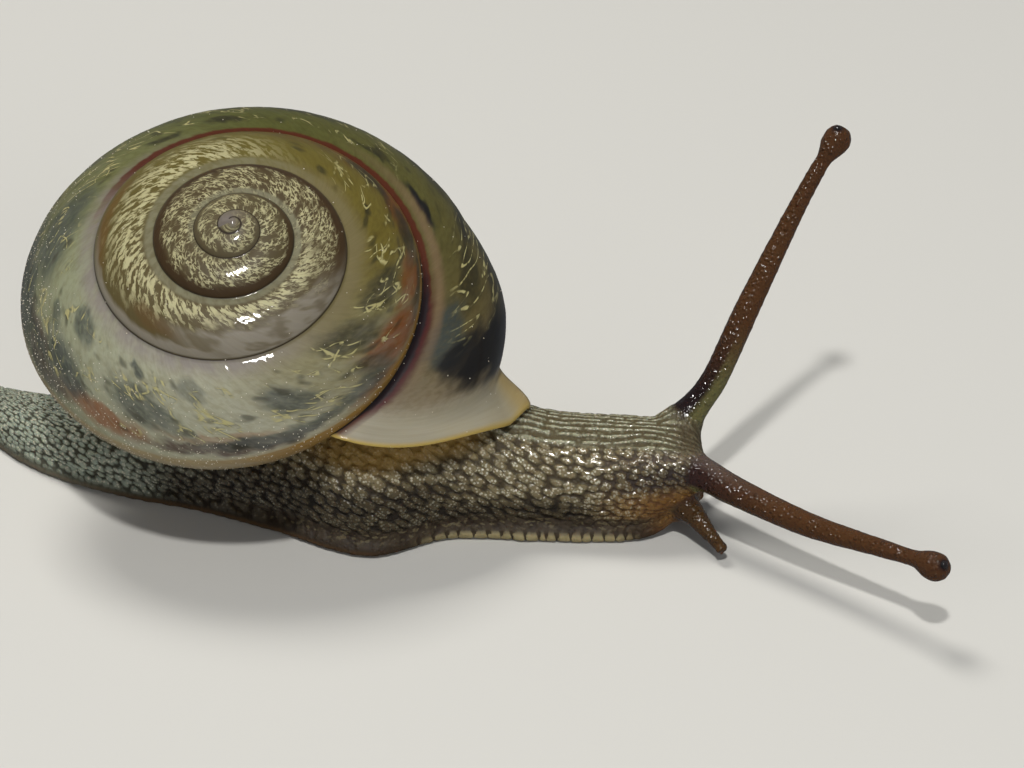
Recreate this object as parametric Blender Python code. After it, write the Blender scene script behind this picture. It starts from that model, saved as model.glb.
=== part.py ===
"""Life-size still model of a banded land snail, crawling with its head up front.

Frame: +X towards the head, +Y to the animal's left, +Z up. The origin lies on the sole's
flat underside, below the middle of the foot. Lengths below are in millimetres and are
turned into metres by MM where meshes are made.
"""

import math

import bmesh
import bpy
from mathutils import Matrix, Vector

MM = 0.001
GAP = 0.2  # clear space between touching pieces
EYE_GAP = 0.08

# Shell: a right-handed spiral. The suture is a curve of turns t about the shell's axis.
SPIRAL_SCALE = 0.06717
SPIRAL_START = 2.467
SPIRAL_POWER = 2.769
SPIRE_DROP = 0.1316
SPIRE_POWER = 1.817
LATE_DROP = 1.168  # extra descent of the later whorls, per turn squared
LATE_DROP_FROM = 2.233
DRAW_IN = 2.6  # the last half turn grows more slowly than the spiral
DRAW_IN_POWER = 1.25
DRAW_IN_FROM = 3.85
FIRST_TURN = -1.0
LAST_TURN = 3.575  # where the suture meets the lip
PHASE = math.radians(145.6)
STEPS_PER_TURN = 40
LIP_LAG_STEPS = 5  # the lip's periphery trails its suture end by this many steps
BASE_LAG = 0.045  # further trailing of the lip across the base, in turns
LIP_BOW = 0.104  # further trailing of the lip just above the periphery, in turns
SUTURE_BELOW_KEEL = 0.03
LATE_SUTURE_BELOW_KEEL = 0.08
WHORL_BULGE = 0.10  # convexity of the spire whorls, as a share of their width
LAST_WHORL_BULGE = 0.19
BASE_DEPTH = 0.47  # depth of the base below the keel, as a share of the keel's radius
BASE_FULL_RADIUS = 10.0  # the base deepens more slowly beyond this keel radius
BASE_SLOWING = 0.4
BASE_FULLNESS = 0.93
UMBILICUS_RADIUS = 1.5
UMBILICUS_TOP = -8.6
LIP_FLARE = 0.9
LIP_FLARE_TURNS = 0.035
EDGE_FLARE = 1.4  # further flare of the lip round the periphery
EDGE_FLARE_POINTS = 5  # how many profile points the further flare fades over, each way
LIP_SWELL = 0.55  # fullness of the last whorl just behind the lip
LIP_SWELL_BACK = 0.075  # how far behind the lip it is fullest, in turns
LIP_SWELL_TURNS = 0.09  # how far it fades over, each way
LIP_SWELL_POINTS = 6
LIP_THICKNESS = 0.45
RECESS_TURNS = 0.036  # depth of the recess behind the lip
COLLAR_FROM = 0.003
COLLAR_TO = 0.02
COLUMELLA_RADIUS = 4.5
TOP_POINTS = 6
KEEL_POINTS = 2
BASE_POINTS = 8
SHELL_TILT = math.radians(29.3)  # the spire leans to the animal's right
SHELL_YAW = math.radians(6.0)
SHELL_ORIGIN = (-0.73, -2.60, 17.11)

# Body stations from the tail's tip to the face:
# x, middle y, body half width, height, sole half width, lift of the underside.
STATIONS = (
    (-20.2, 8.9, 0.35, 0.7, 0.35, 0.0),
    (-18.0, 7.2, 1.1, 1.3, 1.2, 0.0),
    (-14.8, 4.7, 1.9, 2.0, 2.4, 0.0),
    (-11.6, 2.9, 2.5, 2.7, 2.9, 0.0),
    (-7.5, 1.7, 3.0, 3.4, 3.3, 0.0),
    (-3.2, 0.9, 3.3, 4.3, 3.5, 0.0),
    (0.7, 0.1, 3.8, 5.6, 4.1, 0.0),
    (6.0, -1.0, 4.6, 7.4, 4.9, 0.0),
    (9.7, -0.1, 3.7, 6.5, 3.6, 0.0),
    (14.3, 0.0, 3.15, 5.25, 3.45, 0.0),
    (19.0, 0.0, 3.0, 5.2, 2.9, 0.0),
    (21.0, 0.0, 2.7, 5.0, 2.0, 0.45),
    (22.6, 0.0, 2.3, 4.6, 1.3, 1.0),
)
FACE_FROM = 20.0  # the face rounds off from here to its tip
FACE_TIP = 22.3
FACE_LEVEL = 3.3
SOLE_EDGE = 0.35  # height of the sole's outermost edge
GROOVE_HEIGHT = 0.85
GROOVE_DEPTH = 0.3
DOME_LEVEL = 0.42  # height of the widest part, as a share of the body's height
DOME_POINTS = 7
TAIL_TO = -9.0
FOOT_TO = 9.6
NECK_TO = 18.2
LONG_STEP = 1.0

# Each tentacle: its path from inside the head to its tip, and radii along its length.
# The upper pair carry the eyes and the lower pair feel the ground.
TENTACLE_LEFT = ((20.6, 1.05, 4.0), (21.25, 1.45, 5.1), (22.5, 2.3, 6.9), (24.4, 4.0, 11.1), (26.4, 5.7, 15.4), (27.95, 6.85, 18.3))
TENTACLE_RIGHT = ((20.9, -0.9, 3.4), (21.9, -1.45, 3.6), (23.9, -2.7, 3.3), (27.5, -5.2, 3.2), (31.0, -7.7, 3.7), (33.6, -9.6, 4.15))
TENTACLE_RADII = ((0.0, 0.9), (0.08, 1.25), (0.2, 0.98), (0.34, 0.8), (0.6, 0.62), (0.8, 0.47), (1.0, 0.39))
BULB_RINGS = (  # along the stalk from the bulb's middle, and radius
    (-1.75, 0.4), (-1.3, 0.41), (-0.95, 0.49), (-0.68, 0.61), (-0.4, 0.7),
    (0.0, 0.73), (0.3, 0.66), (0.52, 0.5), (0.67, 0.26),
)
BULB_SIDES = 14
BULB_SAG = 0.12
EYE_RADIUS = 0.19
EYE_LEFT = (0.05, -0.06, 0.57)  # from the bulb's middle
EYE_RIGHT = (0.32, -0.38, 0.33)
LIP_TENTACLE_RIGHT = ((20.9, -1.4, 1.4), (21.7, -2.0, 1.55), (22.4, -2.9, 1.25), (23.0, -3.6, 0.95), (23.5, -4.2, 0.7))
LIP_TENTACLE_LEFT = ((20.9, 1.2, 1.4), (21.6, 1.5, 1.5), (22.3, 1.9, 1.15), (22.8, 2.2, 0.7))
LIP_TENTACLE_RADII = ((0.0, 0.5), (0.2, 0.6), (0.4, 0.47), (0.65, 0.38), (0.85, 0.33), (1.0, 0.35))
MOUTH_AT = (21.75, 0.0, 1.35)
MOUTH_SIZE = (0.55, 0.62, 0.5)


def smooth(share):
    """Eases 0 to 1 with level ends."""
    share = min(max(share, 0.0), 1.0)
    return share * share * (3.0 - 2.0 * share)


def hill(value, middle, half):
    """A soft hill of height 1 at the middle, gone past half its width."""
    return smooth(1.0 - abs((value - middle) / half))


def bezier(start, middle, end, share):
    """A point on a quadratic curve through start and end."""
    a, b, c = (1 - share) ** 2, 2 * share * (1 - share), share**2
    return tuple(a * p + b * q + c * r for p, q, r in zip(start, middle, end))


def keel(turn):
    """Radius and height of the keel, which the next whorl's suture follows."""
    grown = max(turn + SPIRAL_START, 0.0)
    radius = SPIRAL_SCALE * grown**SPIRAL_POWER
    radius -= DRAW_IN * max(turn - DRAW_IN_FROM, 0.0) ** DRAW_IN_POWER
    height = -SPIRE_DROP * grown**SPIRE_POWER
    height -= LATE_DROP * max(turn - LATE_DROP_FROM, 0.0) ** 2
    return radius, height


def base_point(turn, share):
    """A point of the base under the keel of this turn, from the keel to the umbilicus."""
    radius, height = keel(turn)
    inner = min(UMBILICUS_RADIUS, 0.4 * radius)
    depth = BASE_DEPTH * min(radius, BASE_FULL_RADIUS + BASE_SLOWING * (radius - BASE_FULL_RADIUS))
    corner = (BASE_FULLNESS * radius, height - depth)
    return bezier((radius, height), corner, (inner, height - depth), share)


def suture(turn):
    """The suture runs just below the keel of the whorl before it."""
    late = smooth((turn - 3.1) / (LAST_TURN - 3.1))
    below = SUTURE_BELOW_KEEL + (LATE_SUTURE_BELOW_KEEL - SUTURE_BELOW_KEEL) * late
    return base_point(turn, below), below


def whorl_profile(turn):
    """Radius and height along a whorl, from its suture over the keel and down to the umbilicus."""
    start, _ = suture(turn)
    end = keel(turn + 1)
    width = math.dist(start, end)
    late = smooth(turn - (LAST_TURN - 1.0))
    bulge = 2 * width * (WHORL_BULGE + (LAST_WHORL_BULGE - WHORL_BULGE) * late)
    normal = ((start[1] - end[1]) / width, (end[0] - start[0]) / width)
    crown = tuple((p + q) / 2 + bulge * n for p, q, n in zip(start, end, normal))
    points = [bezier(start, crown, end, i / TOP_POINTS) for i in range(TOP_POINTS + 1)]
    _, below = suture(turn + 1)
    points += [base_point(turn + 1, below * (i + 1) / KEEL_POINTS) for i in range(KEEL_POINTS)]
    for i in range(BASE_POINTS):
        points.append(base_point(turn + 1, below + (1 - below) * (i + 1) / BASE_POINTS))
    inner, bottom = points[-1]
    points.append((0.75 * inner, bottom + 0.3 * (UMBILICUS_TOP - bottom)))
    return points


ATTACHED = TOP_POINTS + KEEL_POINTS  # the profile's index where the next suture starts


def lag(index):
    """How far, in turns, the growth line trails its suture end at this profile index."""
    outer = LIP_LAG_STEPS / STEPS_PER_TURN
    if index <= ATTACHED:
        share = index / ATTACHED
        return outer * share + LIP_BOW * share**3 * (1 - share)
    return outer + BASE_LAG * (index - ATTACHED) / (BASE_POINTS + 1)


def lip_spread(turn, index):
    """How far the whorl swells behind the lip, and then flares at it, at this profile index."""
    near_lip = smooth((turn - LAST_TURN + LIP_FLARE_TURNS) / LIP_FLARE_TURNS) ** 2
    flare = LIP_FLARE * math.sin(math.pi * min(index / (ATTACHED * 2), 1.0))
    flare += EDGE_FLARE * hill(index, ATTACHED, EDGE_FLARE_POINTS)
    swell = LIP_SWELL * hill(turn, LAST_TURN - LIP_SWELL_BACK, LIP_SWELL_TURNS)
    return near_lip * flare + swell * hill(index, TOP_POINTS, LIP_SWELL_POINTS)


def shell_point(turn, index, inset=0.0, flare=True):
    """A point of the growth line laid down at this turn, inset towards the whorl's middle."""
    at = turn - lag(index)
    profile = whorl_profile(at)
    radius, height = profile[index]
    spread = lip_spread(turn, index) if flare else 0.0
    middle = [sum(p[k] for p in profile) / len(profile) for k in (0, 1)]
    away = Vector((radius - middle[0], height - middle[1])).normalized() * (spread - inset)
    radius, height = radius + away.x, height + away.y
    angle = PHASE - 2 * math.pi * at
    return Vector((radius * math.cos(angle), radius * math.sin(angle), height))


def shell_place():
    """The shell's own frame, with its axis up, placed on the animal's back."""
    turn = Matrix.Rotation(SHELL_YAW, 4, "Z") @ Matrix.Rotation(SHELL_TILT, 4, "X")
    return Matrix.Translation(Vector(SHELL_ORIGIN) * MM) @ turn @ Matrix.Scale(MM, 4)


def aperture_ring(inset, back, spare=0.0):
    """The opening's edge, moved back into the whorl by part of a turn and drawn in.

    It runs round the lip, then home along the wall of the whorl before it. Spare draws in the
    part near the shell's axis still further.
    """
    count = len(whorl_profile(LAST_TURN))
    home_turn = LAST_TURN - 1 + LIP_LAG_STEPS / STEPS_PER_TURN
    ring = [shell_point(LAST_TURN - back, i, flare=back == 0) for i in range(count)]
    ring += [shell_point(home_turn - back, i) for i in range(count - 1, ATTACHED, -1)]
    middle = sum(ring, Vector()) / len(ring)
    moved = []
    for point in ring:
        inward = middle - point
        reach = inset + spare * max(0.0, 1.0 - math.hypot(point.x, point.y) / COLUMELLA_RADIUS)
        moved.append(point + inward.normalized() * min(reach, 0.4 * inward.length))
    return moved


def sew(rows_of_faces, points, name):
    """A closed mesh from a table of named points and faces that list their keys."""
    build = bmesh.new()
    made = {key: build.verts.new(point) for key, point in points.items()}
    for keys in rows_of_faces:
        corners = []
        for key in keys:
            if made[key] not in corners:
                corners.append(made[key])
        if len(corners) > 2:
            build.faces.new(corners)
    bmesh.ops.remove_doubles(build, verts=build.verts, dist=0.004)
    bmesh.ops.triangulate(build, faces=build.faces)
    bmesh.ops.recalc_face_normals(build, faces=build.faces)
    if build.calc_volume(signed=True) < 0:
        bmesh.ops.reverse_faces(build, faces=build.faces)
    mesh = bpy.data.meshes.new(name)
    build.to_mesh(mesh)
    build.free()
    return bpy.data.objects.new(name, mesh)


def shell_mesh(name, swell=0.0):
    """The whole shell as one closed solid, with a shallow recess behind its thin lip."""
    count = len(whorl_profile(3.0))
    last = round((LAST_TURN - FIRST_TURN) * STEPS_PER_TURN)
    shift = STEPS_PER_TURN - LIP_LAG_STEPS

    def turn_of(row):
        return LAST_TURN - (last - row) / STEPS_PER_TURN

    def key(row, index):
        """Growth lines share their keel points with the suture of the next whorl."""
        if index == ATTACHED and row + shift <= last:
            return (row + shift, 0)
        return (row, index)

    points, faces = {}, []
    attach = last - shift
    for row in range(last + 1):
        for index in range(ATTACHED + 1 if row < attach else count):
            points[key(row, index)] = shell_point(turn_of(row), index, -swell)
    for row in range(last):
        for index in range(ATTACHED if row < attach else count - 1):
            corners = ((row, index), (row, index + 1), (row + 1, index + 1), (row + 1, index))
            faces.append([key(*corner) for corner in corners])
    first = [key(0, index) for index in range(ATTACHED + 1)]
    nucleus = [key(row, 0) for row in range(shift + 1)]
    points["apex"] = sum((points[k] for k in first + nucleus), Vector()) / len(first + nucleus)
    rim = nucleus + first[::-1]
    for one, two in zip(rim, rim[1:] + rim[:1]):
        faces.append([one, two, "apex"])
    hollow = [key(row, count - 1) for row in range(attach, last + 1)]
    points["umbilicus"] = Vector((0, 0, sum(points[k].z for k in hollow) / len(hollow) + 0.3))
    for one, two in zip(hollow, hollow[1:] + hollow[:1]):
        faces.append([one, two, "umbilicus"])

    mouth = [key(last, i) for i in range(count)]
    mouth += [key(attach, i) for i in range(count - 1, ATTACHED, -1)]
    loops = [mouth]
    for back in () if swell else (0.0, RECESS_TURNS):
        ring = aperture_ring(LIP_THICKNESS, back)
        loop = [("loop", len(loops), i) for i in range(len(ring))]
        points.update(zip(loop, ring))
        loops.append(loop)
    for one in mouth if swell else ():
        angle = math.atan2(points[one].y, points[one].x)
        points[one] = points[one] + Vector((math.sin(angle), -math.cos(angle), 0)) * swell
    for outer, inner in zip(loops, loops[1:]):
        for i in range(len(outer)):
            j = (i + 1) % len(outer)
            faces.append([outer[i], outer[j], inner[j], inner[i]])
    floor = loops[-1]
    points["floor"] = sum((points[k] for k in floor), Vector()) / len(floor)
    for one, two in zip(floor, floor[1:] + floor[:1]):
        faces.append([one, two, "floor"])
    made = sew(faces, points, name)
    made.data.transform(shell_place())
    return made


def between(table, at):
    """A smooth curve through a table of (position, values...) rows."""
    at = min(max(at, table[0][0]), table[-1][0])
    i = next(k for k in range(len(table) - 1) if at <= table[k + 1][0])
    before, here, after, later = (table[min(max(i + k, 0), len(table) - 1)] for k in (-1, 0, 1, 2))
    step = after[0] - here[0]
    t = (at - here[0]) / step
    values = []
    for a, b, c, d in zip(before[1:], here[1:], after[1:], later[1:]):
        leave = (c - a) / (after[0] - before[0]) * step
        reach = (d - b) / (later[0] - here[0]) * step
        values.append(
            b * (2 * t**3 - 3 * t**2 + 1) + leave * (t**3 - 2 * t**2 + t)
            + c * (3 * t**2 - 2 * t**3) + reach * (t**3 - t**2)
        )
    return values


def section(x):
    """The body's outline at this x: a flat sole with a soft edge, a groove, and a domed back."""
    middle, half, height, sole, lift = between(STATIONS, x)
    lift = max(lift, 0.0)
    rise = height - lift
    waist = lift + min(GROOVE_HEIGHT, 0.35 * rise)
    level = max(DOME_LEVEL * height, waist + 0.08 * rise)
    groove = min(half, sole) - GROOVE_DEPTH * min(1.0, half / 3)
    side = [(0.88 * sole, lift), (sole, lift + min(SOLE_EDGE, 0.16 * rise)), (groove, waist)]
    for i in range(1, DOME_POINTS):
        angle = math.pi / 2 * (i - 0.4) / (DOME_POINTS - 0.4)
        side.append((half * math.cos(angle), level + (height - level) * math.sin(angle)))
    outline = [(0.0, lift), *side, (0.0, height), *[(-y, z) for y, z in side[::-1]]]
    if x > FACE_FROM:
        left = math.sqrt(max(1.0 - ((x - FACE_FROM) / (FACE_TIP - FACE_FROM)) ** 2, 0.02))
        outline = [(y * left, FACE_LEVEL + (z - FACE_LEVEL) * left) for y, z in outline]
    return [Vector((x, middle + y, z)) for y, z in outline]


def loft(name, rings, tip_in=0.0, tip_out=0.0):
    """A closed solid through rings of points, with a centre point at each end."""
    points = {("ring", i, j): p for i, ring in enumerate(rings) for j, p in enumerate(ring)}
    count = len(rings[0])
    faces = []
    for i in range(len(rings) - 1):
        for j in range(count):
            k = (j + 1) % count
            faces.append([("ring", i, j), ("ring", i, k), ("ring", i + 1, k), ("ring", i + 1, j)])
    for end, i, out in (("in", 0, tip_in), ("out", len(rings) - 1, tip_out)):
        middle = sum(rings[i], Vector()) / count
        away = (middle - sum(rings[1 if i == 0 else i - 1], Vector()) / count).normalized()
        points[end] = middle + away * out
        for j in range(count):
            faces.append([("ring", i, j), ("ring", i, (j + 1) % count), end])
    made = sew(faces, points, name)
    made.data.transform(Matrix.Scale(MM, 4))
    return made


def body_length(name, start, end):
    """One length of the body, between two cuts."""
    stops = [start] + [x for x in frange(start, end, LONG_STEP)] + [end]
    if end > FACE_FROM:
        reach = FACE_TIP - FACE_FROM
        stops = [x for x in stops if x < FACE_FROM]
        stops += [FACE_FROM + reach * math.sin(math.radians(a)) for a in (0, 20, 38, 54, 68, 80)]
    return loft(name, [section(x) for x in stops])


def frange(start, end, step):
    """Evenly spaced values strictly between two ends."""
    count = max(round((end - start) / step), 1)
    return [start + (end - start) * i / count for i in range(1, count)]


def tentacle_ring(path, radius, at, sides, swell=0.0):
    """A round section of a tentacle at this share of its length."""
    table = [(i / (len(path) - 1), *p) for i, p in enumerate(path)]
    here = Vector(between(table, at))
    along = (Vector(between(table, min(at + 0.01, 1))) - Vector(between(table, max(at - 0.01, 0)))).normalized()
    side = along.cross(Vector((0, 0, 1))).normalized()
    up = side.cross(along)
    spin = [2 * math.pi * k / sides for k in range(sides)]
    return [here + (side * math.cos(a) + up * math.sin(a)) * (radius + swell) for a in spin]


def tentacle_length(name, path, radii, start, end, count, sides=12, swell=0.0):
    """One length of a tentacle, between two shares of its path."""
    stops = [start + (end - start) * i / (count - 1) for i in range(count)]
    return loft(name, [tentacle_ring(path, between(radii, at)[0], at, sides, swell) for at in stops])


def bulb(name, path):
    """The swollen tip of an upper tentacle, which sags a little below the stalk's axis."""
    tip = Vector(path[-1])
    along = (tip - Vector(path[-2])).normalized()
    side = along.cross(Vector((0, 0, 1))).normalized()
    up = side.cross(along)
    spin = [2 * math.pi * k / BULB_SIDES for k in range(BULB_SIDES)]
    rings = []
    for place, radius in BULB_RINGS:
        middle = tip + along * place - up * BULB_SAG * smooth(1 + place / BULB_RINGS[1][0] * -1)
        rings.append([middle + (side * math.cos(a) + up * math.sin(a)) * radius for a in spin])
    return loft(name, rings, 0.0, 0.03)


def ball(name, middle, size, swell=0.0):
    """A small rounded solid of these three radii."""
    build = bmesh.new()
    bmesh.ops.create_icosphere(build, subdivisions=2, radius=MM)
    bmesh.ops.scale(build, verts=build.verts, vec=[radius + swell for radius in size])
    bmesh.ops.translate(build, verts=build.verts, vec=Vector(middle) * MM)
    mesh = bpy.data.meshes.new(name)
    build.to_mesh(mesh)
    build.free()
    return bpy.data.objects.new(name, mesh)


def collar(name, inset, near, far):
    """The mantle's edge, which fills the shell's opening behind the lip."""
    rings = [aperture_ring(inset, near + (far - near) * i / 2, 1.0) for i in range(3)]
    place = shell_place()
    return loft(name, [[place @ p / MM for p in ring] for ring in rings])


# Each kind of piece: colour, roughness.
FINISHES = {
    "shell": ((0.30, 0.25, 0.13), 0.25),
    "mantle": ((0.12, 0.09, 0.06), 0.35),
    "skin": ((0.10, 0.085, 0.05), 0.35),
    "tentacle": ((0.16, 0.07, 0.035), 0.3),
    "eye": ((0.01, 0.01, 0.012), 0.15),
}


def finish(piece, kind):
    """Gives a piece a material of its own."""
    colour, roughness = FINISHES[kind]
    material = bpy.data.materials.new(f"{piece.name}_{kind}")
    material.use_nodes = True
    surface = material.node_tree.nodes["Principled BSDF"]
    surface.inputs["Base Color"].default_value = (*colour, 1.0)
    surface.inputs["Roughness"].default_value = roughness
    surface.inputs["Metallic"].default_value = 0.0
    piece.data.materials.append(material)


def clear_scene():
    """Empties the startup scene."""
    for thing in list(bpy.data.objects):
        bpy.data.objects.remove(thing)


def subtract(piece, *cutters):
    """Cuts other solids out of a piece."""
    for cutter in cutters:
        cut = piece.modifiers.new("clear of " + cutter.name, "BOOLEAN")
        cut.operation = "DIFFERENCE"
        cut.solver = "EXACT"
        cut.object = cutter


def main():
    clear_scene()
    parts = bpy.data.collections.new("snail")
    cutters = bpy.data.collections.new("clearances")
    cutters.hide_render = True
    for group in (parts, cutters):
        bpy.context.scene.collection.children.link(group)

    def add(piece, kind="skin"):
        finish(piece, kind)
        parts.objects.link(piece)
        return piece

    def cutter(piece):
        cutters.objects.link(piece)
        piece.hide_render = True
        piece.display_type = "WIRE"
        return piece

    add(shell_mesh("shell"), "shell")
    around_shell = cutter(shell_mesh("around_shell", GAP))
    add(collar("mantle_collar", LIP_THICKNESS + GAP, COLLAR_FROM, COLLAR_TO), "mantle")
    add(body_length("tail", STATIONS[0][0], TAIL_TO - GAP / 2))
    foot = add(body_length("foot", TAIL_TO + GAP / 2, FOOT_TO - GAP / 2))
    neck = add(body_length("neck", FOOT_TO + GAP / 2, NECK_TO - GAP / 2))
    head = add(body_length("head", NECK_TO + GAP / 2, FACE_TIP))
    subtract(foot, around_shell)
    subtract(neck, around_shell)
    for side, path, eye in (("left", TENTACLE_LEFT, EYE_LEFT), ("right", TENTACLE_RIGHT, EYE_RIGHT)):
        add(tentacle_length(f"upper_tentacle_{side}_root", path, TENTACLE_RADII, 0.0, 0.34, 9), "tentacle")
        add(tentacle_length(f"upper_tentacle_{side}_shaft", path, TENTACLE_RADII, 0.355, 0.885, 10), "tentacle")
        tip = add(bulb(f"eye_bulb_{side}", path), "tentacle")
        subtract(head, cutter(tentacle_length(f"around_root_{side}", path, TENTACLE_RADII, -0.0, 0.34, 9, swell=GAP)))
        eye_at = Vector(path[-1]) + Vector(eye) - Vector((0, 0, BULB_SAG / 2))
        add(ball(f"eye_{side}", eye_at, [EYE_RADIUS] * 3), "eye")
        subtract(tip, cutter(ball(f"around_eye_{side}", eye_at, [EYE_RADIUS] * 3, EYE_GAP)))
    for side, path in (("left", LIP_TENTACLE_LEFT), ("right", LIP_TENTACLE_RIGHT)):
        add(tentacle_length(f"lower_tentacle_{side}", path, LIP_TENTACLE_RADII, 0.0, 1.0, 7, 10), "tentacle")
        subtract(head, cutter(tentacle_length(f"around_lower_{side}", path, LIP_TENTACLE_RADII, 0.0, 1.0, 7, 10, GAP)))
    add(ball("mouth", MOUTH_AT, MOUTH_SIZE))
    subtract(head, cutter(ball("around_mouth", MOUTH_AT, MOUTH_SIZE, GAP)))


main()
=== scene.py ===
"""Looks of a life-size banded land snail: a glossy coiled shell, wet tubercled skin and dark eyes.

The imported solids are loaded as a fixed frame, in metres, with +X towards the head, +Y to the
animal's left and +Z up. Each sub-assembly below is a class that holds its sizes in millimetres,
builds its mesh in millimetres and hands it over in metres, in place and at the origin.
"""

import logging
import math
from dataclasses import dataclass, field
from enum import Enum

import bmesh
import bpy
import numpy as np
from mathutils import Matrix, Vector
from mathutils.bvhtree import BVHTree


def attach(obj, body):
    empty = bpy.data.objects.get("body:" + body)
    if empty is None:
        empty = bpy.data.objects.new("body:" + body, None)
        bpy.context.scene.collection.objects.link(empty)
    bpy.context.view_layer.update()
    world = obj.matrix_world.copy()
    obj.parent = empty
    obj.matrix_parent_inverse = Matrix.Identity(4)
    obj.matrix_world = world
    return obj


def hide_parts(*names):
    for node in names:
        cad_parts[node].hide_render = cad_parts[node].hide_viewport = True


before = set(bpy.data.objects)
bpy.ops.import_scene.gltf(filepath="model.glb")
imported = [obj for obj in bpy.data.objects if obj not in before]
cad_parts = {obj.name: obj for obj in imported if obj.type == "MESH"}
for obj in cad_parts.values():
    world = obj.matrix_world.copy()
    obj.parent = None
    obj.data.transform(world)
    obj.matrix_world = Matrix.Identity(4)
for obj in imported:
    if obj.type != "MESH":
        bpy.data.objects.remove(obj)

LOG = logging.getLogger("snail")
MM = 0.001
TURN = 2 * math.pi
ROOT = "root"
RIDGE_SLANT = 0.36  # how far the rows of tubercles fall towards the head
KINDS = ("flank", "ridge", "frill", "fine")  # the kinds of relief on the skin
FLOAT, VECTOR, GEOMETRY = "NodeSocketFloat", "NodeSocketVector", "NodeSocketGeometry"

Mesh, Piece, Material = bpy.types.Mesh, bpy.types.Object, bpy.types.Material
Tree, Node, Socket = bpy.types.NodeTree, bpy.types.Node, bpy.types.NodeSocket
Array = np.ndarray
Colour = tuple[float, float, float]
Place = tuple[float, float, float]
Corner = tuple[int, tuple, tuple]  # a point's number, its growth place and its distances


class Side(Enum):
    """Which side of the animal a piece is on."""

    LEFT = "left"
    RIGHT = "right"


class Feel(Enum):
    """How glossy a surface is: roughness, sheen, coat weight and coat roughness."""

    WET = (0.17, 0.5, 0.42, 0.05)
    POLISHED = (0.42, 0.22, 0.5, 0.03)
    LENS = (0.12, 0.5, 1.0, 0.03)
    DRY = (0.75, 0.3, 0.0, 0.3)


# ---------------- numbers


def smooth(share: Array | float) -> Array:
    """Eases 0 to 1 with level ends."""
    share = np.clip(share, 0.0, 1.0)
    return share * share * (3.0 - 2.0 * share)


def bump(value: Array, middle: float, half: float) -> Array:
    """A soft hill of height 1 at a middle, which is gone past half its width."""
    return smooth(1.0 - np.abs((value - middle) / half))


def bezier(start: Array, middle: Array, end: Array, share: Array) -> Array:
    """Points on a quadratic curve.

    Args:
        start, middle, end: the curve's control points, with two numbers in the last axis.
        share: how far along the curve, from 0 to 1.

    Returns:
        The points, one for each share.
    """
    s = np.asarray(share)[..., None]
    return (1 - s) ** 2 * start + 2 * s * (1 - s) * middle + s**2 * end


def through(table: tuple, at: float) -> list[float]:
    """A smooth curve through a table of rows.

    Args:
        table: rows that each hold a position and then the values there.
        at: the position to read.

    Returns:
        The values at that position.
    """
    at = min(max(at, table[0][0]), table[-1][0])
    i = next(k for k in range(len(table) - 1) if at <= table[k + 1][0])
    before, here, after, later = (table[min(max(i + k, 0), len(table) - 1)] for k in (-1, 0, 1, 2))
    step = after[0] - here[0]
    t = (at - here[0]) / step
    values = []
    for a, b, c, d in zip(before[1:], here[1:], after[1:], later[1:]):
        leave = (c - a) / (after[0] - before[0]) * step
        reach = (d - b) / (later[0] - here[0]) * step
        values.append(
            b * (2 * t**3 - 3 * t**2 + 1) + leave * (t**3 - 2 * t**2 + t)
            + c * (3 * t**2 - 2 * t**3) + reach * (t**3 - t**2)
        )
    return values


# ---------------- meshes


def link(name: str, data: bpy.types.ID) -> Piece:
    """Puts a mesh, a light or a camera in the scene under this name."""
    piece = bpy.data.objects.new(name, data)
    bpy.context.scene.collection.objects.link(piece)
    return piece


def coordinates(mesh: Mesh) -> Array:
    """The mesh's points, one row each."""
    points = np.empty(len(mesh.vertices) * 3, np.float32)
    mesh.vertices.foreach_get("co", points)
    return points.reshape(-1, 3).astype(float)


def place(mesh: Mesh, points: Array) -> None:
    """Moves the mesh's points to these places."""
    mesh.vertices.foreach_set("co", np.asarray(points, np.float32).ravel())
    mesh.update()


def mark(mesh: Mesh, name: str, values: Array) -> None:
    """Keeps values on the mesh.

    Args:
        mesh: the mesh.
        name: the name that materials and trees read them by.
        values: a number, or a vector, for each point.
    """
    if values.ndim == 1:
        layer = mesh.attributes.new(name, "FLOAT", "POINT")
        layer.data.foreach_set("value", values.astype(np.float32))
    else:
        layer = mesh.attributes.new(name, "FLOAT_VECTOR", "POINT")
        layer.data.foreach_set("vector", values.astype(np.float32).ravel())


def relax(mesh: Mesh, weight: Array, rounds: int) -> None:
    """Smooths a mesh where the weight is high.

    Args:
        mesh: the mesh to change.
        weight: how far each point moves towards the mean of its neighbours, from 0 to 1.
        rounds: how often.
    """
    ends = np.empty(len(mesh.edges) * 2, np.int32)
    mesh.edges.foreach_get("vertices", ends)
    one, two = ends.reshape(-1, 2).T
    count = np.bincount(ends, minlength=len(mesh.vertices)).clip(1)[:, None]
    points = coordinates(mesh)
    for _ in range(rounds):
        total = np.stack([
            np.bincount(one, points[two, k], len(points)) + np.bincount(two, points[one, k], len(points))
            for k in range(3)
        ], 1)
        points += (total / count - points) * weight[:, None]
    place(mesh, points)


def point_out(mesh: Mesh) -> None:
    """Turns the faces of a closed mesh outwards and shades it smooth."""
    build = bmesh.new()
    build.from_mesh(mesh)
    bmesh.ops.recalc_face_normals(build, faces=build.faces)
    if build.calc_volume(signed=True) < 0:
        bmesh.ops.reverse_faces(build, faces=build.faces)
    build.to_mesh(mesh)
    build.free()
    mesh.shade_smooth()


def evaluated(piece: Piece) -> Mesh:
    """A plain copy of the piece's mesh with its modifiers applied."""
    bpy.context.view_layer.update()
    graph = bpy.context.evaluated_depsgraph_get()
    return bpy.data.meshes.new_from_object(
        piece.evaluated_get(graph), preserve_all_data_layers=True, depsgraph=graph
    )


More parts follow.
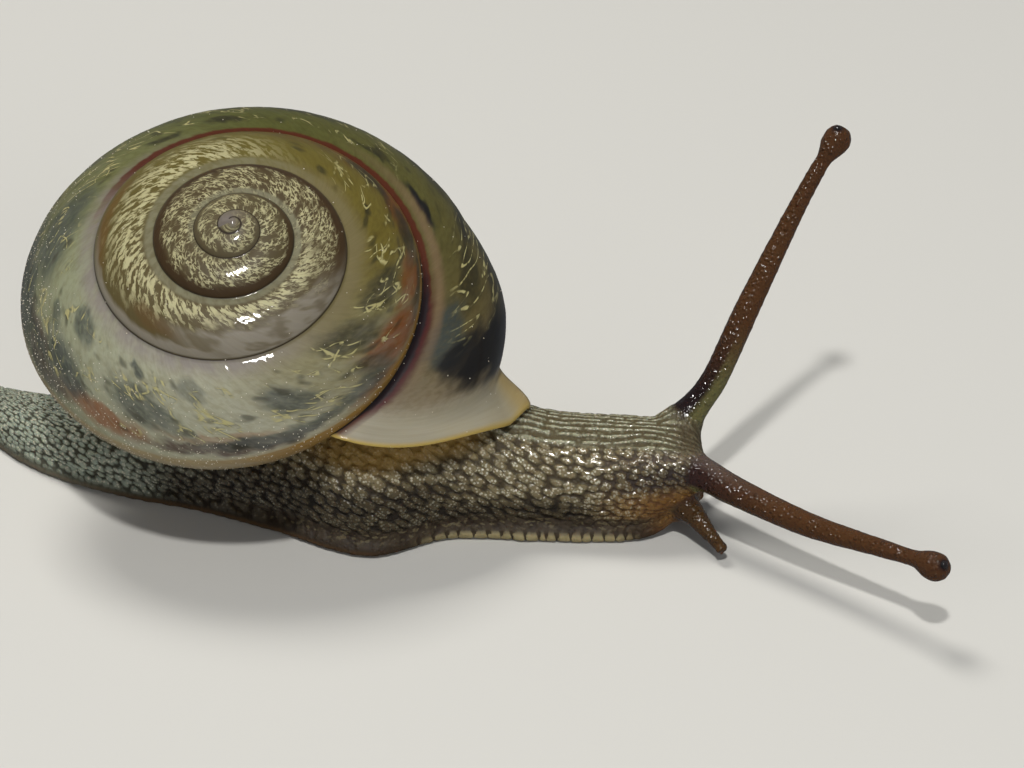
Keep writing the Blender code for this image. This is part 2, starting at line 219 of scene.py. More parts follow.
def settle(piece: Piece) -> Piece:
    """Swaps the piece's mesh for the evaluated one and removes its modifiers."""
    mesh, old = evaluated(piece), piece.data
    piece.modifiers.clear()
    piece.data = mesh
    bpy.data.meshes.remove(old)
    return piece


def grow(piece: Piece, tree: Tree, **sizes: object) -> Piece:
    """Runs a Geometry Nodes tree on a piece and keeps the result as its mesh.

    Args:
        piece: the piece that the tree starts from.
        tree: the tree.
        sizes: the tree's inputs, by name with _ for each space.

    Returns:
        The same piece.
    """
    modifier = piece.modifiers.new(tree.name, "NODES")
    modifier.node_group = tree
    for item in tree.interface.items_tree:
        key = item.name.lower().replace(" ", "_")
        if item.item_type == "SOCKET" and item.in_out == "INPUT" and key in sizes:
            modifier[item.identifier] = sizes[key]
    return settle(piece)


def hoop(middle: Array, side: Array, up: Array, radius: float, count: int) -> Array:
    """A circle of points about a middle, in the plane of two unit directions."""
    spin = np.linspace(0, TURN, count, endpoint=False)
    return middle + (np.outer(np.cos(spin), side) + np.outer(np.sin(spin), up)) * radius


def directions(along: Array) -> tuple[Array, Array, Array]:
    """This direction as a unit vector, and the two sideways ones, the second of them upwards."""
    along = along / np.linalg.norm(along)
    side = np.cross(along, (0, 0, 1))
    side /= np.linalg.norm(side)
    return along, side, np.cross(side, along)


def loft(rings: list[Array], name: str) -> Mesh:
    """A closed mesh through rings, with a centre point at each end.

    Args:
        rings: the points of each ring, equal in number.
        name: the mesh's name.

    Returns:
        The mesh.
    """
    count = len(rings[0])
    points = [p for ring in rings for p in ring]
    faces = []
    for i in range(len(rings) - 1):
        for j in range(count):
            k = (j + 1) % count
            faces.append((i * count + j, i * count + k, (i + 1) * count + k, (i + 1) * count + j))
    for row in (0, len(rings) - 1):
        points.append(np.mean(rings[row], axis=0))
        for j in range(count):
            faces.append((row * count + j, row * count + (j + 1) % count, len(points) - 1))
    mesh = bpy.data.meshes.new(name)
    mesh.from_pydata([tuple(p) for p in points], [], faces)
    point_out(mesh)
    return mesh


def ellipsoid(middle: tuple, size: tuple, name: str, detail: int = 4) -> Mesh:
    """A rounded solid.

    Args:
        middle: where it is.
        size: its three radii.
        name: the mesh's name.
        detail: how often its faces are halved.

    Returns:
        The mesh.
    """
    build = bmesh.new()
    bmesh.ops.create_icosphere(build, subdivisions=detail, radius=1.0)
    bmesh.ops.scale(build, verts=build.verts, vec=size)
    bmesh.ops.translate(build, verts=build.verts, vec=middle)
    mesh = bpy.data.meshes.new(name)
    build.to_mesh(mesh)
    build.free()
    mesh.shade_smooth()
    return mesh


def merged(meshes: list[Mesh], name: str) -> Mesh:
    """One mesh that holds all of these."""
    build = bmesh.new()
    for mesh in meshes:
        build.from_mesh(mesh)
        bpy.data.meshes.remove(mesh)
    joined = bpy.data.meshes.new(name)
    build.to_mesh(joined)
    build.free()
    return joined


# ---------------- node trees


class Graph:
    """Adds nodes to a tree and wires them, a few words at a time."""

    def __init__(self, tree: Tree) -> None:
        """Works on this tree."""
        self.tree = tree

    def add(self, kind: str, inputs: dict | None = None, **settings: object) -> Node:
        """Adds a node.

        Args:
            kind: the node's type.
            inputs: for a socket's name or number, the value or the output that feeds it.
            settings: properties of the node itself.

        Returns:
            The node.
        """
        node = self.tree.nodes.new(kind)
        for name, value in settings.items():
            setattr(node, name, value)
        for key, value in (inputs or {}).items():
            if isinstance(value, Socket):
                self.tree.links.new(value, node.inputs[key])
            else:
                node.inputs[key].default_value = value
        return node

    def sum(self, operation: str, *values: Socket | float) -> Socket:
        """The result of a Math node."""
        return self.add("ShaderNodeMath", dict(enumerate(values)), operation=operation).outputs[0]

    def graded(self, value: Socket, by: Socket | float, start: Socket | float) -> Socket:
        """A value times a factor, added to a start."""
        return self.sum("MULTIPLY_ADD", value, by, start)

    def vectors(self, operation: str, one: Socket, two: Socket | Place) -> Socket:
        """The result of a Vector Math node."""
        return self.add("ShaderNodeVectorMath", {0: one, 1: two}, operation=operation).outputs[0]

    def times(self, *values: Socket | float) -> Socket:
        """The product of several values."""
        total = values[0]
        for value in values[1:]:
            total = self.sum("MULTIPLY", total, value)
        return total

    def parts(self, vector: Socket) -> tuple[Socket, ...]:
        """A vector's three numbers."""
        return tuple(self.add("ShaderNodeSeparateXYZ", {0: vector}).outputs)

    def vector(self, *values: Socket | float) -> Socket:
        """A vector from three numbers."""
        return self.add("ShaderNodeCombineXYZ", dict(enumerate(values))).outputs[0]

    def scaled(self, vector: Socket, by: Place) -> Socket:
        """A vector multiplied axis by axis."""
        return self.vectors("MULTIPLY", vector, by)

    def ease(self, value: Socket, low: Socket | float, high: Socket | float) -> Socket:
        """Eases from 0 at low to 1 at high."""
        inputs = {"Value": value, "From Min": low, "From Max": high}
        return self.add("ShaderNodeMapRange", inputs, interpolation_type="SMOOTHSTEP").outputs["Result"]

    def band(self, value: Socket, low: float, high: float, soft: float) -> Socket:
        """1 between low and high, and 0 outside, over a soft edge."""
        rise = self.ease(value, low - soft, low + soft)
        return self.times(rise, self.ease(value, high + soft, high - soft))

    def noise(self, vector: Socket, scale: Socket | float, detail: Socket | float = 2.0,
              rough: float = 0.5) -> Socket:
        """Cloudy noise from 0 to 1."""
        inputs = {"Vector": vector, "Scale": scale, "Detail": detail, "Roughness": rough}
        return self.add("ShaderNodeTexNoise", inputs).outputs[0]

    def drift(self, vector: Socket, scale: float, detail: float, by: Place) -> Socket:
        """A small cloudy offset, up to half of these lengths each way.

        Args:
            vector: where the cloud is read.
            scale, detail: the cloud's fineness.
            by: the offset's full range along each axis.

        Returns:
            The offset alone, to add to any vector.
        """
        cloud = self.add("ShaderNodeTexNoise", {"Vector": vector, "Scale": scale, "Detail": detail})
        return self.scaled(self.vectors("SUBTRACT", cloud.outputs["Color"], (0.5, 0.5, 0.5)), by)

    def cells(self, vector: Socket, feature: str, scale: float = 1.0, random: float = 1.0,
              dimensions: str = "3D") -> Socket:
        """A cell pattern.

        Args:
            vector: the place, or one number where the pattern has one dimension.
            feature: F1 for cells about their points, or DISTANCE_TO_EDGE for the net between them.
            scale: cells for each unit.
            random: how far the cells stray from a grid, from 0 to 1.
            dimensions: 1D, 2D or 3D.

        Returns:
            The pattern's distance.
        """
        inputs = {"W" if dimensions == "1D" else "Vector": vector, "Scale": scale, "Randomness": random}
        made = self.add("ShaderNodeTexVoronoi", inputs, feature=feature, voronoi_dimensions=dimensions)
        return made.outputs["Distance"]

    def mix(self, share: Socket | float, under: Socket | Colour, over: Socket | Colour,
            blend: str = "MIX") -> Socket:
        """One colour laid over another."""
        values = [c if isinstance(c, Socket) else (*c, 1.0) for c in (under, over)]
        inputs = {0: share, 6: values[0], 7: values[1]}
        return self.add("ShaderNodeMix", inputs, data_type="RGBA", blend_type=blend).outputs[2]

    def ramp(self, value: Socket, stops: tuple[tuple[float, Colour], ...]) -> Socket:
        """A colour that runs through these stops."""
        node = self.add("ShaderNodeValToRGB", {0: value})
        elements = node.color_ramp.elements
        while len(elements) < len(stops):
            elements.new(1.0)
        for element, (at, colour) in zip(elements, stops):
            element.position = at
            element.color = (*colour, 1.0)
        return node.outputs[0]


class GroupGraph(Graph):
    """A node group's graph, with its input sockets by name in given."""

    def __init__(self, name: str, kind: str, inputs: dict[str, tuple]) -> None:
        """Starts a node group.

        Args:
            name: the group's name.
            kind: ShaderNodeTree or GeometryNodeTree.
            inputs: for each input's name, its socket type and default value, or None for no default.
        """
        super().__init__(bpy.data.node_groups.new(name, kind))
        for label, (socket, default) in inputs.items():
            made = self.tree.interface.new_socket(label, in_out="INPUT", socket_type=socket)
            if default is not None:
                made.default_value = default
        self.given = {o.name: o for o in self.add("NodeGroupInput").outputs if o.name}

    def give(self, kind: str, results: dict[str, Socket]) -> Tree:
        """Ends the group.

        Args:
            kind: the outputs' socket type.
            results: what each named output gives.

        Returns:
            The finished tree.
        """
        for label in results:
            self.tree.interface.new_socket(label, in_out="OUTPUT", socket_type=kind)
        out = self.add("NodeGroupOutput")
        for label, result in results.items():
            self.tree.links.new(result, out.inputs[label])
        return self.tree


def tubercle_rule(graph: Graph, hide: Socket, place_mm: Socket, weights: dict[str, Socket]) -> Socket:
    """The skin's relief, as one rule that both its geometry and its colour follow.

    Args:
        graph: the tree to build in.
        hide: millimetres along the body and around it from the back's middle.
        place_mm: the point's place in millimetres.
        weights: how much of each kind of relief there is: flank, ridge, frill and fine.

    Returns:
        The weighted sum of the kinds' heights, each from 0 in a groove to 1 on a crest.
    """
    along, around, _ = graph.parts(hide)
    side = graph.sum("ABSOLUTE", around)
    cloud = graph.noise(graph.scaled(hide, (0.35, 0.5, 1.0)), 1.0, 1.0)
    rough = graph.noise(place_mm, 3.2, 2.0)
    down = graph.graded(side, RIDGE_SLANT, along)
    back = graph.graded(along, -RIDGE_SLANT, side)
    swayed = graph.graded(cloud, 0.7, graph.times(back, 1 / 0.37))
    oval = graph.vector(graph.times(down, 1 / 0.74), swayed, 0.0)
    spread = graph.graded(rough, 0.24, graph.cells(oval, "F1", random=0.62, dimensions="2D"))
    flank = graph.ease(spread, 0.76, 0.42)
    lanes = graph.graded(cloud, 1.3, graph.times(around, 1 / 0.47))
    crest = graph.sum("ABSOLUTE", graph.sum("SUBTRACT", graph.sum("FRACT", lanes), 0.5))
    broken = graph.noise(graph.vector(graph.times(along, 1.6), graph.sum("FLOOR", lanes), 0.0), 1.0, 3.0)
    beads = graph.graded(rough, 0.5, crest)
    ridge = graph.times(graph.ease(beads, 0.57, 0.32), graph.ease(broken, 0.36, 0.5))
    _, _, level = graph.parts(place_mm)
    strayed = graph.graded(rough, 0.35, graph.times(along, 1 / 0.62))
    notch = graph.cells(strayed, "DISTANCE_TO_EDGE", random=1.0, dimensions="1D")
    rise = graph.sum("ABSOLUTE", graph.sum("SUBTRACT", level, 0.22))
    narrowed = graph.graded(rise, -0.45, notch)
    frill = graph.ease(graph.graded(rough, 0.22, narrowed), 0.04, 0.26)
    fine = graph.ease(graph.cells(place_mm, "F1", 3.4, 0.9), 0.45, 0.1)
    total: Socket | float = 0.0
    for kind, height in zip(KINDS, (flank, ridge, frill, fine)):
        total = graph.graded(height, weights[kind], total)
    return total


def tubercle_group() -> Tree:
    """The skin's relief as a shader group, for the colours and the fine bump."""
    inputs = {"Hide": (VECTOR, None), "Place": (VECTOR, None)}
    inputs |= {kind.title(): (FLOAT, 0.0) for kind in KINDS}
    graph = GroupGraph("skin relief", "ShaderNodeTree", inputs)
    weights = {kind: graph.given[kind.title()] for kind in KINDS}
    relief = tubercle_rule(graph, graph.given["Hide"], graph.given["Place"], weights)
    return graph.give(FLOAT, {"Crest": relief})


def relief_tree() -> Tree:
    """A Geometry Nodes tree that raises the skin's tubercles, ridges, frill and grains."""
    heights = {"Flank Height": 0.09, "Ridge Height": 0.06, "Frill Height": 0.09, "Fine Height": 0.01}
    inputs = {"Geometry": (GEOMETRY, None)} | {name: (FLOAT, size) for name, size in heights.items()}
    graph = GroupGraph("raise skin", "GeometryNodeTree", inputs)

    def named(name: str, kind: str) -> Socket:
        """An attribute that the mesh carries."""
        node = graph.add("GeometryNodeInputNamedAttribute", data_type=kind)
        node.inputs["Name"].default_value = name
        return node.outputs["Attribute"]

    sizes = {kind: graph.given[f"{kind.title()} Height"] for kind in KINDS}
    weights = {kind: graph.times(named(kind, "FLOAT"), size) for kind, size in sizes.items()}
    position = graph.add("GeometryNodeInputPosition").outputs[0]
    relief = tubercle_rule(graph, named("hide", "FLOAT_VECTOR"), position, weights)
    normal = graph.add("GeometryNodeInputNormal").outputs[0]
    offset = graph.add("ShaderNodeVectorMath", {0: normal, "Scale": relief}, operation="SCALE")
    inputs = {"Geometry": graph.given["Geometry"], "Offset": offset.outputs[0]}
    return graph.give(GEOMETRY, {"Geometry": graph.add("GeometryNodeSetPosition", inputs).outputs[0]})


def scatter_tree() -> Tree:
    """A Geometry Nodes tree that scatters small grains over a surface where it is dusty."""
    inputs = {
        "Geometry": (GEOMETRY, None),
        "Density": (FLOAT, 4.0),
        "Grain Radius": (FLOAT, 0.03),
        "Smallest": (FLOAT, 0.5),
        "Largest": (FLOAT, 1.7),
        "Seed": ("NodeSocketInt", 5),
        "Material": ("NodeSocketMaterial", None),
    }
    graph = GroupGraph("scatter dust", "GeometryNodeTree", inputs)
    given = graph.given
    dusty = graph.add("GeometryNodeInputNamedAttribute", data_type="FLOAT")
    dusty.inputs["Name"].default_value = "dust"
    density = graph.times(dusty.outputs["Attribute"], given["Density"])
    spread = {"Mesh": given["Geometry"], "Density": density, "Seed": given["Seed"]}
    points = graph.add("GeometryNodeDistributePointsOnFaces", spread)
    grain = graph.add("GeometryNodeMeshIcoSphere", {"Radius": given["Grain Radius"], "Subdivisions": 1})
    sizes = {2: given["Smallest"], 3: given["Largest"]}
    size = graph.add("FunctionNodeRandomValue", sizes, data_type="FLOAT")
    placed = graph.add("GeometryNodeInstanceOnPoints", {
        "Points": points.outputs["Points"],
        "Instance": grain.outputs["Mesh"],
        "Rotation": points.outputs["Rotation"],
        "Scale": size.outputs[1],
    })
    real = graph.add("GeometryNodeRealizeInstances", {0: placed.outputs[0]})
    dressed = graph.add("GeometryNodeSetMaterial", {0: real.outputs[0], "Material": given["Material"]})
    return graph.give(GEOMETRY, {"Geometry": dressed.outputs[0]})


def mottle_group() -> Tree:
    """Soft-edged patches of noise, shared by the shell, the skin and the eyes."""
    inputs = {
        "Vector": (VECTOR, None),
        "Scale": (FLOAT, 1.0),
        "Detail": (FLOAT, 2.0),
        "Low": (FLOAT, 0.4),
        "High": (FLOAT, 0.6),
    }
    graph = GroupGraph("mottle", "ShaderNodeTree", inputs)
    given = graph.given
    cloud = graph.noise(given["Vector"], given["Scale"], given["Detail"])
    return graph.give(FLOAT, {"Mask": graph.ease(cloud, given["Low"], given["High"])})


def growth_group() -> Tree:
    """Fine growth lines across a whorl, shared by the shell's outside and its inner lip."""
    inputs = {"Arc": (VECTOR, None), "Lines Per Millimetre": (FLOAT, 5.0)}
    graph = GroupGraph("growth lines", "ShaderNodeTree", inputs)
    along, across, _ = graph.parts(graph.given["Arc"])
    pace = graph.times(along, graph.given["Lines Per Millimetre"])
    line = graph.vector(pace, graph.times(across, 0.22), 0.0)
    fine = graph.noise(line, 1.0, 3.0, 0.65)
    broad = graph.noise(graph.vector(graph.times(along, 1.1), graph.times(across, 0.08), 3.0), 1.0, 2.0)
    streak = graph.ease(graph.sum("ADD", fine, graph.times(broad, 0.5)), 0.55, 0.95)
    return graph.give(FLOAT, {"Height": graph.graded(broad, 1.4, fine), "Streak": streak})


def spot_group() -> Tree:
    """One soft oval spot in a pair of coordinates, which the shell's blotches repeat."""
    inputs = {
        "Vector": (VECTOR, None),
        "Middle": (VECTOR, (0.0, 0.0, 0.0)),
        "Spread": (VECTOR, (1.0, 1.0, 1.0)),
        "Strength": (FLOAT, 1.0),
    }
    graph = GroupGraph("spot", "ShaderNodeTree", inputs)
    given = graph.given
    offset = graph.vectors("SUBTRACT", given["Vector"], given["Middle"])
    share = graph.vectors("DIVIDE", offset, given["Spread"])
    reach = graph.add("ShaderNodeVectorMath", {0: share}, operation="LENGTH").outputs["Value"]
    return graph.give(FLOAT, {"Mask": graph.times(graph.ease(reach, 1.3, 0.55), given["Strength"])})


class Groups:
    """The shader groups that more than one material uses, each built once."""

    def __init__(self) -> None:
        """Builds the groups."""
        self.mottle = mottle_group()
        self.growth = growth_group()
        self.tubercles = tubercle_group()
        self.spot = spot_group()


class Paint(Graph):
    """A material's graph, with a colour that is laid on in coats."""

    def __init__(self, name: str, groups: Groups) -> None:
        """Starts an empty material."""
        self.material = bpy.data.materials.new(name)
        self.material.use_nodes = True
        super().__init__(self.material.node_tree)
        self.tree.nodes.clear()
        self.groups = groups
        self.colour: Socket | Colour = (0.5, 0.5, 0.5)
        self.place = self.scaled(self.add("ShaderNodeTexCoord").outputs["Object"], (1 / MM,) * 3)

    def attribute(self, name: str, vector: bool = False) -> Socket:
        """A number or a vector that the mesh carries for each point."""
        node = self.add("ShaderNodeAttribute", attribute_name=name)
        return node.outputs["Vector" if vector else "Fac"]

    def uv(self, name: str) -> Socket:
        """One of the mesh's own maps."""
        return self.add("ShaderNodeUVMap", uv_map=name).outputs[0]

    def group(self, tree: Tree, inputs: dict) -> Node:
        """A shader group's node, with its inputs fed or set by name."""
        return self.add("ShaderNodeGroup", inputs, node_tree=tree)

    def patches(self, vector: Socket, scale: float, low: float, high: float, detail: float = 2.0) -> Socket:
        """A mask of soft-edged patches."""
        inputs = {"Vector": vector, "Scale": scale, "Detail": detail, "Low": low, "High": high}
        return self.group(self.groups.mottle, inputs).outputs["Mask"]

    def spots(self, vector: Socket, spots: tuple[tuple[float, ...], ...]) -> Socket:
        """A mask of several soft ovals.

        Args:
            vector: the coordinates that they lie in.
            spots: for each one, its middle, half sizes and strength.

        Returns:
            The strongest of them at each point.
        """
        total: Socket | float = 0.0
        for turn, share, half_turn, half_share, strength in spots:
            spot = self.group(self.groups.spot, {
                "Vector": vector,
                "Middle": (turn, share, 0.0),
                "Spread": (half_turn, half_share, 1.0),
                "Strength": strength,
            })
            total = self.sum("MAXIMUM", total, spot.outputs["Mask"])
        return total

    def coat(self, colour: Socket | Colour, *masks: Socket | float, blend: str = "MIX") -> None:
        """Lays a colour over what is there, as far as the product of the masks says."""
        self.colour = self.mix(self.times(*masks), self.colour, colour, blend)

    def close(self, feel: Feel, height: Socket | None = None, depth_mm: float = 0.0,
              rough: Socket | None = None, flesh: float = 0.0, reach_mm: Place = (1, 1, 1),
              film: Socket | None = None) -> Material:
        """Ends the material in its surface shader.

        Args:
            feel: how glossy it is.
            height: a height from 0 to 1 for the fine bump, if any.
            depth_mm: how deep the fine bump is.
            rough: a roughness that changes over the surface, in place of the feel's own.
            flesh: how much light scatters below the surface.
            reach_mm: how far red, green and blue light scatter.
            film: a share of the clear coat that changes over the surface.

        Returns:
            The material.
        """
        roughness, sheen, coat, coat_rough = feel.value
        surface = self.add("ShaderNodeBsdfPrincipled", {
            "Base Color": self.colour,
            "Roughness": roughness if rough is None else rough,
            "Specular IOR Level": sheen,
            "Coat Weight": coat if film is None else self.times(film, coat),
            "Coat Roughness": coat_rough,
            "Subsurface Weight": flesh,
            "Subsurface Radius": reach_mm,
            "Subsurface Scale": MM,
        })
        if height is not None:
            relief = {"Height": height, "Distance": depth_mm * MM, "Strength": 1.0}
            self.tree.links.new(self.add("ShaderNodeBump", relief).outputs[0], surface.inputs["Normal"])
        end = self.add("ShaderNodeOutputMaterial")
        self.tree.links.new(surface.outputs[0], end.inputs["Surface"])
        return self.material


# ---------------- shell


@dataclass(frozen=True)
class Spiral:
    """The rule of growth that the shell's keel, suture and base follow."""

    scale: float = 0.06717
    start: float = 2.467
    power: float = 2.769
    spire_drop: float = 0.1316
    spire_power: float = 1.817
    late_drop: float = 1.168
    late_drop_from: float = 2.233
    draw_in: float = 2.6
    draw_in_power: float = 1.25
    draw_in_from: float = 3.85
    last_turn: float = 3.575
    below_keel: float = 0.03
    late_below_keel: float = 0.08
    late_below_from: float = 3.1
    bulge: float = 0.1
    last_bulge: float = 0.19
    base_depth: float = 0.47
    base_full_radius: float = 10.0
    base_slowing: float = 0.4
    base_fullness: float = 0.93
    umbilicus_radius: float = 1.5
    umbilicus_share: float = 0.4  # of the keel's radius, on the small early whorls
    umbilicus_top: float = -8.6
    wall_taper: float = 0.25
    wall_rise: float = 0.3
    lip_lag: float = 0.125
    base_lag: float = 0.045
    lip_bow: float = 0.104
    flare: float = 0.9
    flare_turns: float = 0.035
    edge_flare: float = 1.4
    swell: float = 0.55
    swell_back: float = 0.075
    swell_turns: float = 0.09
    phase: float = math.radians(145.6)

    def keel(self, turn: Array) -> Array:
        """Radius and height of the keel at these turns."""
        grown = np.maximum(turn + self.start, 0.0)
        radius = self.scale * grown**self.power
        radius = radius - self.draw_in * np.maximum(turn - self.draw_in_from, 0.0) ** self.draw_in_power
        height = -self.spire_drop * grown**self.spire_power
        height = height - self.late_drop * np.maximum(turn - self.late_drop_from, 0.0) ** 2
        return np.stack([radius, height], -1)

    def base(self, turn: Array, share: Array) -> Array:
        """Points of a whorl's base.

        Args:
            turn: the turn of each point.
            share: how far it lies from the keel at 0 to the umbilicus at 1.

        Returns:
            Radius and height of each point.
        """
        rim = self.keel(turn)
        radius, height = rim[..., 0], rim[..., 1]
        inner = np.minimum(self.umbilicus_radius, self.umbilicus_share * radius)
        full = self.base_full_radius + self.base_slowing * (radius - self.base_full_radius)
        depth = self.base_depth * np.minimum(radius, full)
        corner = np.stack([self.base_fullness * radius, height - depth], -1)
        return bezier(rim, corner, np.stack([inner, height - depth], -1), share)

    def below(self, turn: Array) -> Array:
        """How far down the base the next suture runs."""
        late = smooth((turn - self.late_below_from) / (self.last_turn - self.late_below_from))
        return self.below_keel + (self.late_below_keel - self.below_keel) * late

    def profile(self, at: Array, place: Array) -> Array:
        """A whorl's profile.

        Args:
            at: the turn of each point's plane through the axis.
            place: 0 to 1 from the suture to the keel, to 2 where the next suture runs, to 3 over
                the base, and on to 4 up the umbilicus.

        Returns:
            Radius and height of each point.
        """
        start = self.base(at, self.below(at))
        end = self.keel(at + 1)
        chord = end - start
        width = np.linalg.norm(chord, axis=-1, keepdims=True)
        late = smooth(at - (self.last_turn - 1.0))[..., None]
        bulge = 2 * width * (self.bulge + (self.last_bulge - self.bulge) * late)
        normal = np.stack([-chord[..., 1], chord[..., 0]], -1) / width
        crown = (start + end) / 2 + bulge * normal
        below = self.below(at + 1)
        top = bezier(start, crown, end, np.clip(place, 0, 1))
        rim = self.base(at + 1, below * np.clip(place - 1, 0, 1))
        under = self.base(at + 1, below + (1 - below) * np.clip(place - 2, 0, 1))
        up = np.clip(place - 3, 0, 1)
        wall = under.copy()
        wall[..., 0] = under[..., 0] * (1 - self.wall_taper * up)
        wall[..., 1] = under[..., 1] + self.wall_rise * up * (self.umbilicus_top - under[..., 1])
        zone = place[..., None]
        return np.where(zone <= 1, top, np.where(zone <= 2, rim, np.where(zone <= 3, under, wall)))

    def lag(self, place: Array) -> Array:
        """How far, in turns, a growth line trails its suture end at this place."""
        share = np.interp(place, (0, 1, 2), (0, 0.75, 1.0))
        outer = self.lip_lag * share + self.lip_bow * share**3 * (1 - share)
        return outer + self.base_lag * np.interp(place, (2, 3, 4), (0, 8 / 9, 1.0))

    def spread(self, turn: Array, place: Array) -> Array:
        """How far the whorl swells just behind the lip, and then flares at it.

        Args:
            turn: the turn of each growth line.
            place: the place across it.

        Returns:
            Millimetres outwards for each point.
        """
        index = np.interp(place, (0, 1, 2, 3, 4), (0, 6, 8, 16, 17))
        near_lip = smooth((turn - self.last_turn + self.flare_turns) / self.flare_turns) ** 2
        flare = self.flare * np.sin(math.pi * np.minimum(index / 16, 1.0))
        flare = flare + self.edge_flare * bump(index, 8, 5)
        swell = self.swell * bump(turn, self.last_turn - self.swell_back, self.swell_turns)
        return near_lip * flare + swell * bump(index, 6, 6)


class Net:
    """The shell's mesh while it is built, with two maps at the corners of its faces."""

    def __init__(self, points: Array) -> None:
        """Starts from these points."""
        self.points = list(map(tuple, points))
        self.faces, self.growths, self.spans, self.inner = [], [], [], []

    def face(self, corners: list[Corner], inside: bool = False) -> None:
        """Adds a face.

        Args:
            corners: its corners in turn.
            inside: whether it is on the inner wall.
        """
        self.faces.append([int(corner[0]) for corner in corners])
        self.growths.extend(corner[1] for corner in corners)
        self.spans.extend(corner[2] for corner in corners)
        self.inner.append(inside)

    def loop(self, places: Array, maps: list[tuple]) -> list[Corner]:
        """Adds points, and gives them as corners with their growth places and distances."""
        start = len(self.points)
        self.points.extend(map(tuple, places))
        return [(start + i, tuple(growth), tuple(span)) for i, (growth, span) in enumerate(maps)]

    def join(self, one: list[Corner], two: list[Corner], inside: bool = False) -> None:
        """Adds the faces between two loops of equal count."""
        for i in range(len(one)):
            k = (i + 1) % len(one)
            self.face([one[i], one[k], two[k], two[i]], inside)

    def fan(self, loop: list[Corner], centre: Corner, inside: bool = False) -> None:
        """Adds the faces from a loop to its centre."""
        for one, two in zip(loop, loop[1:] + loop[:1]):
            self.face([one, two, centre], inside)

    def mesh(self, name: str) -> Mesh:
        """The finished mesh, with its maps and its two materials' faces."""
        mesh = bpy.data.meshes.new(name)
        mesh.from_pydata(self.points, [], self.faces)
        for label, values in (("growth", self.growths), ("arc", self.spans)):
            mesh.uv_layers.new(name=label).data.foreach_set("uv", np.array(values, np.float32).ravel())
        mesh.polygons.foreach_set("material_index", np.array(self.inner, np.int32))
        return mesh


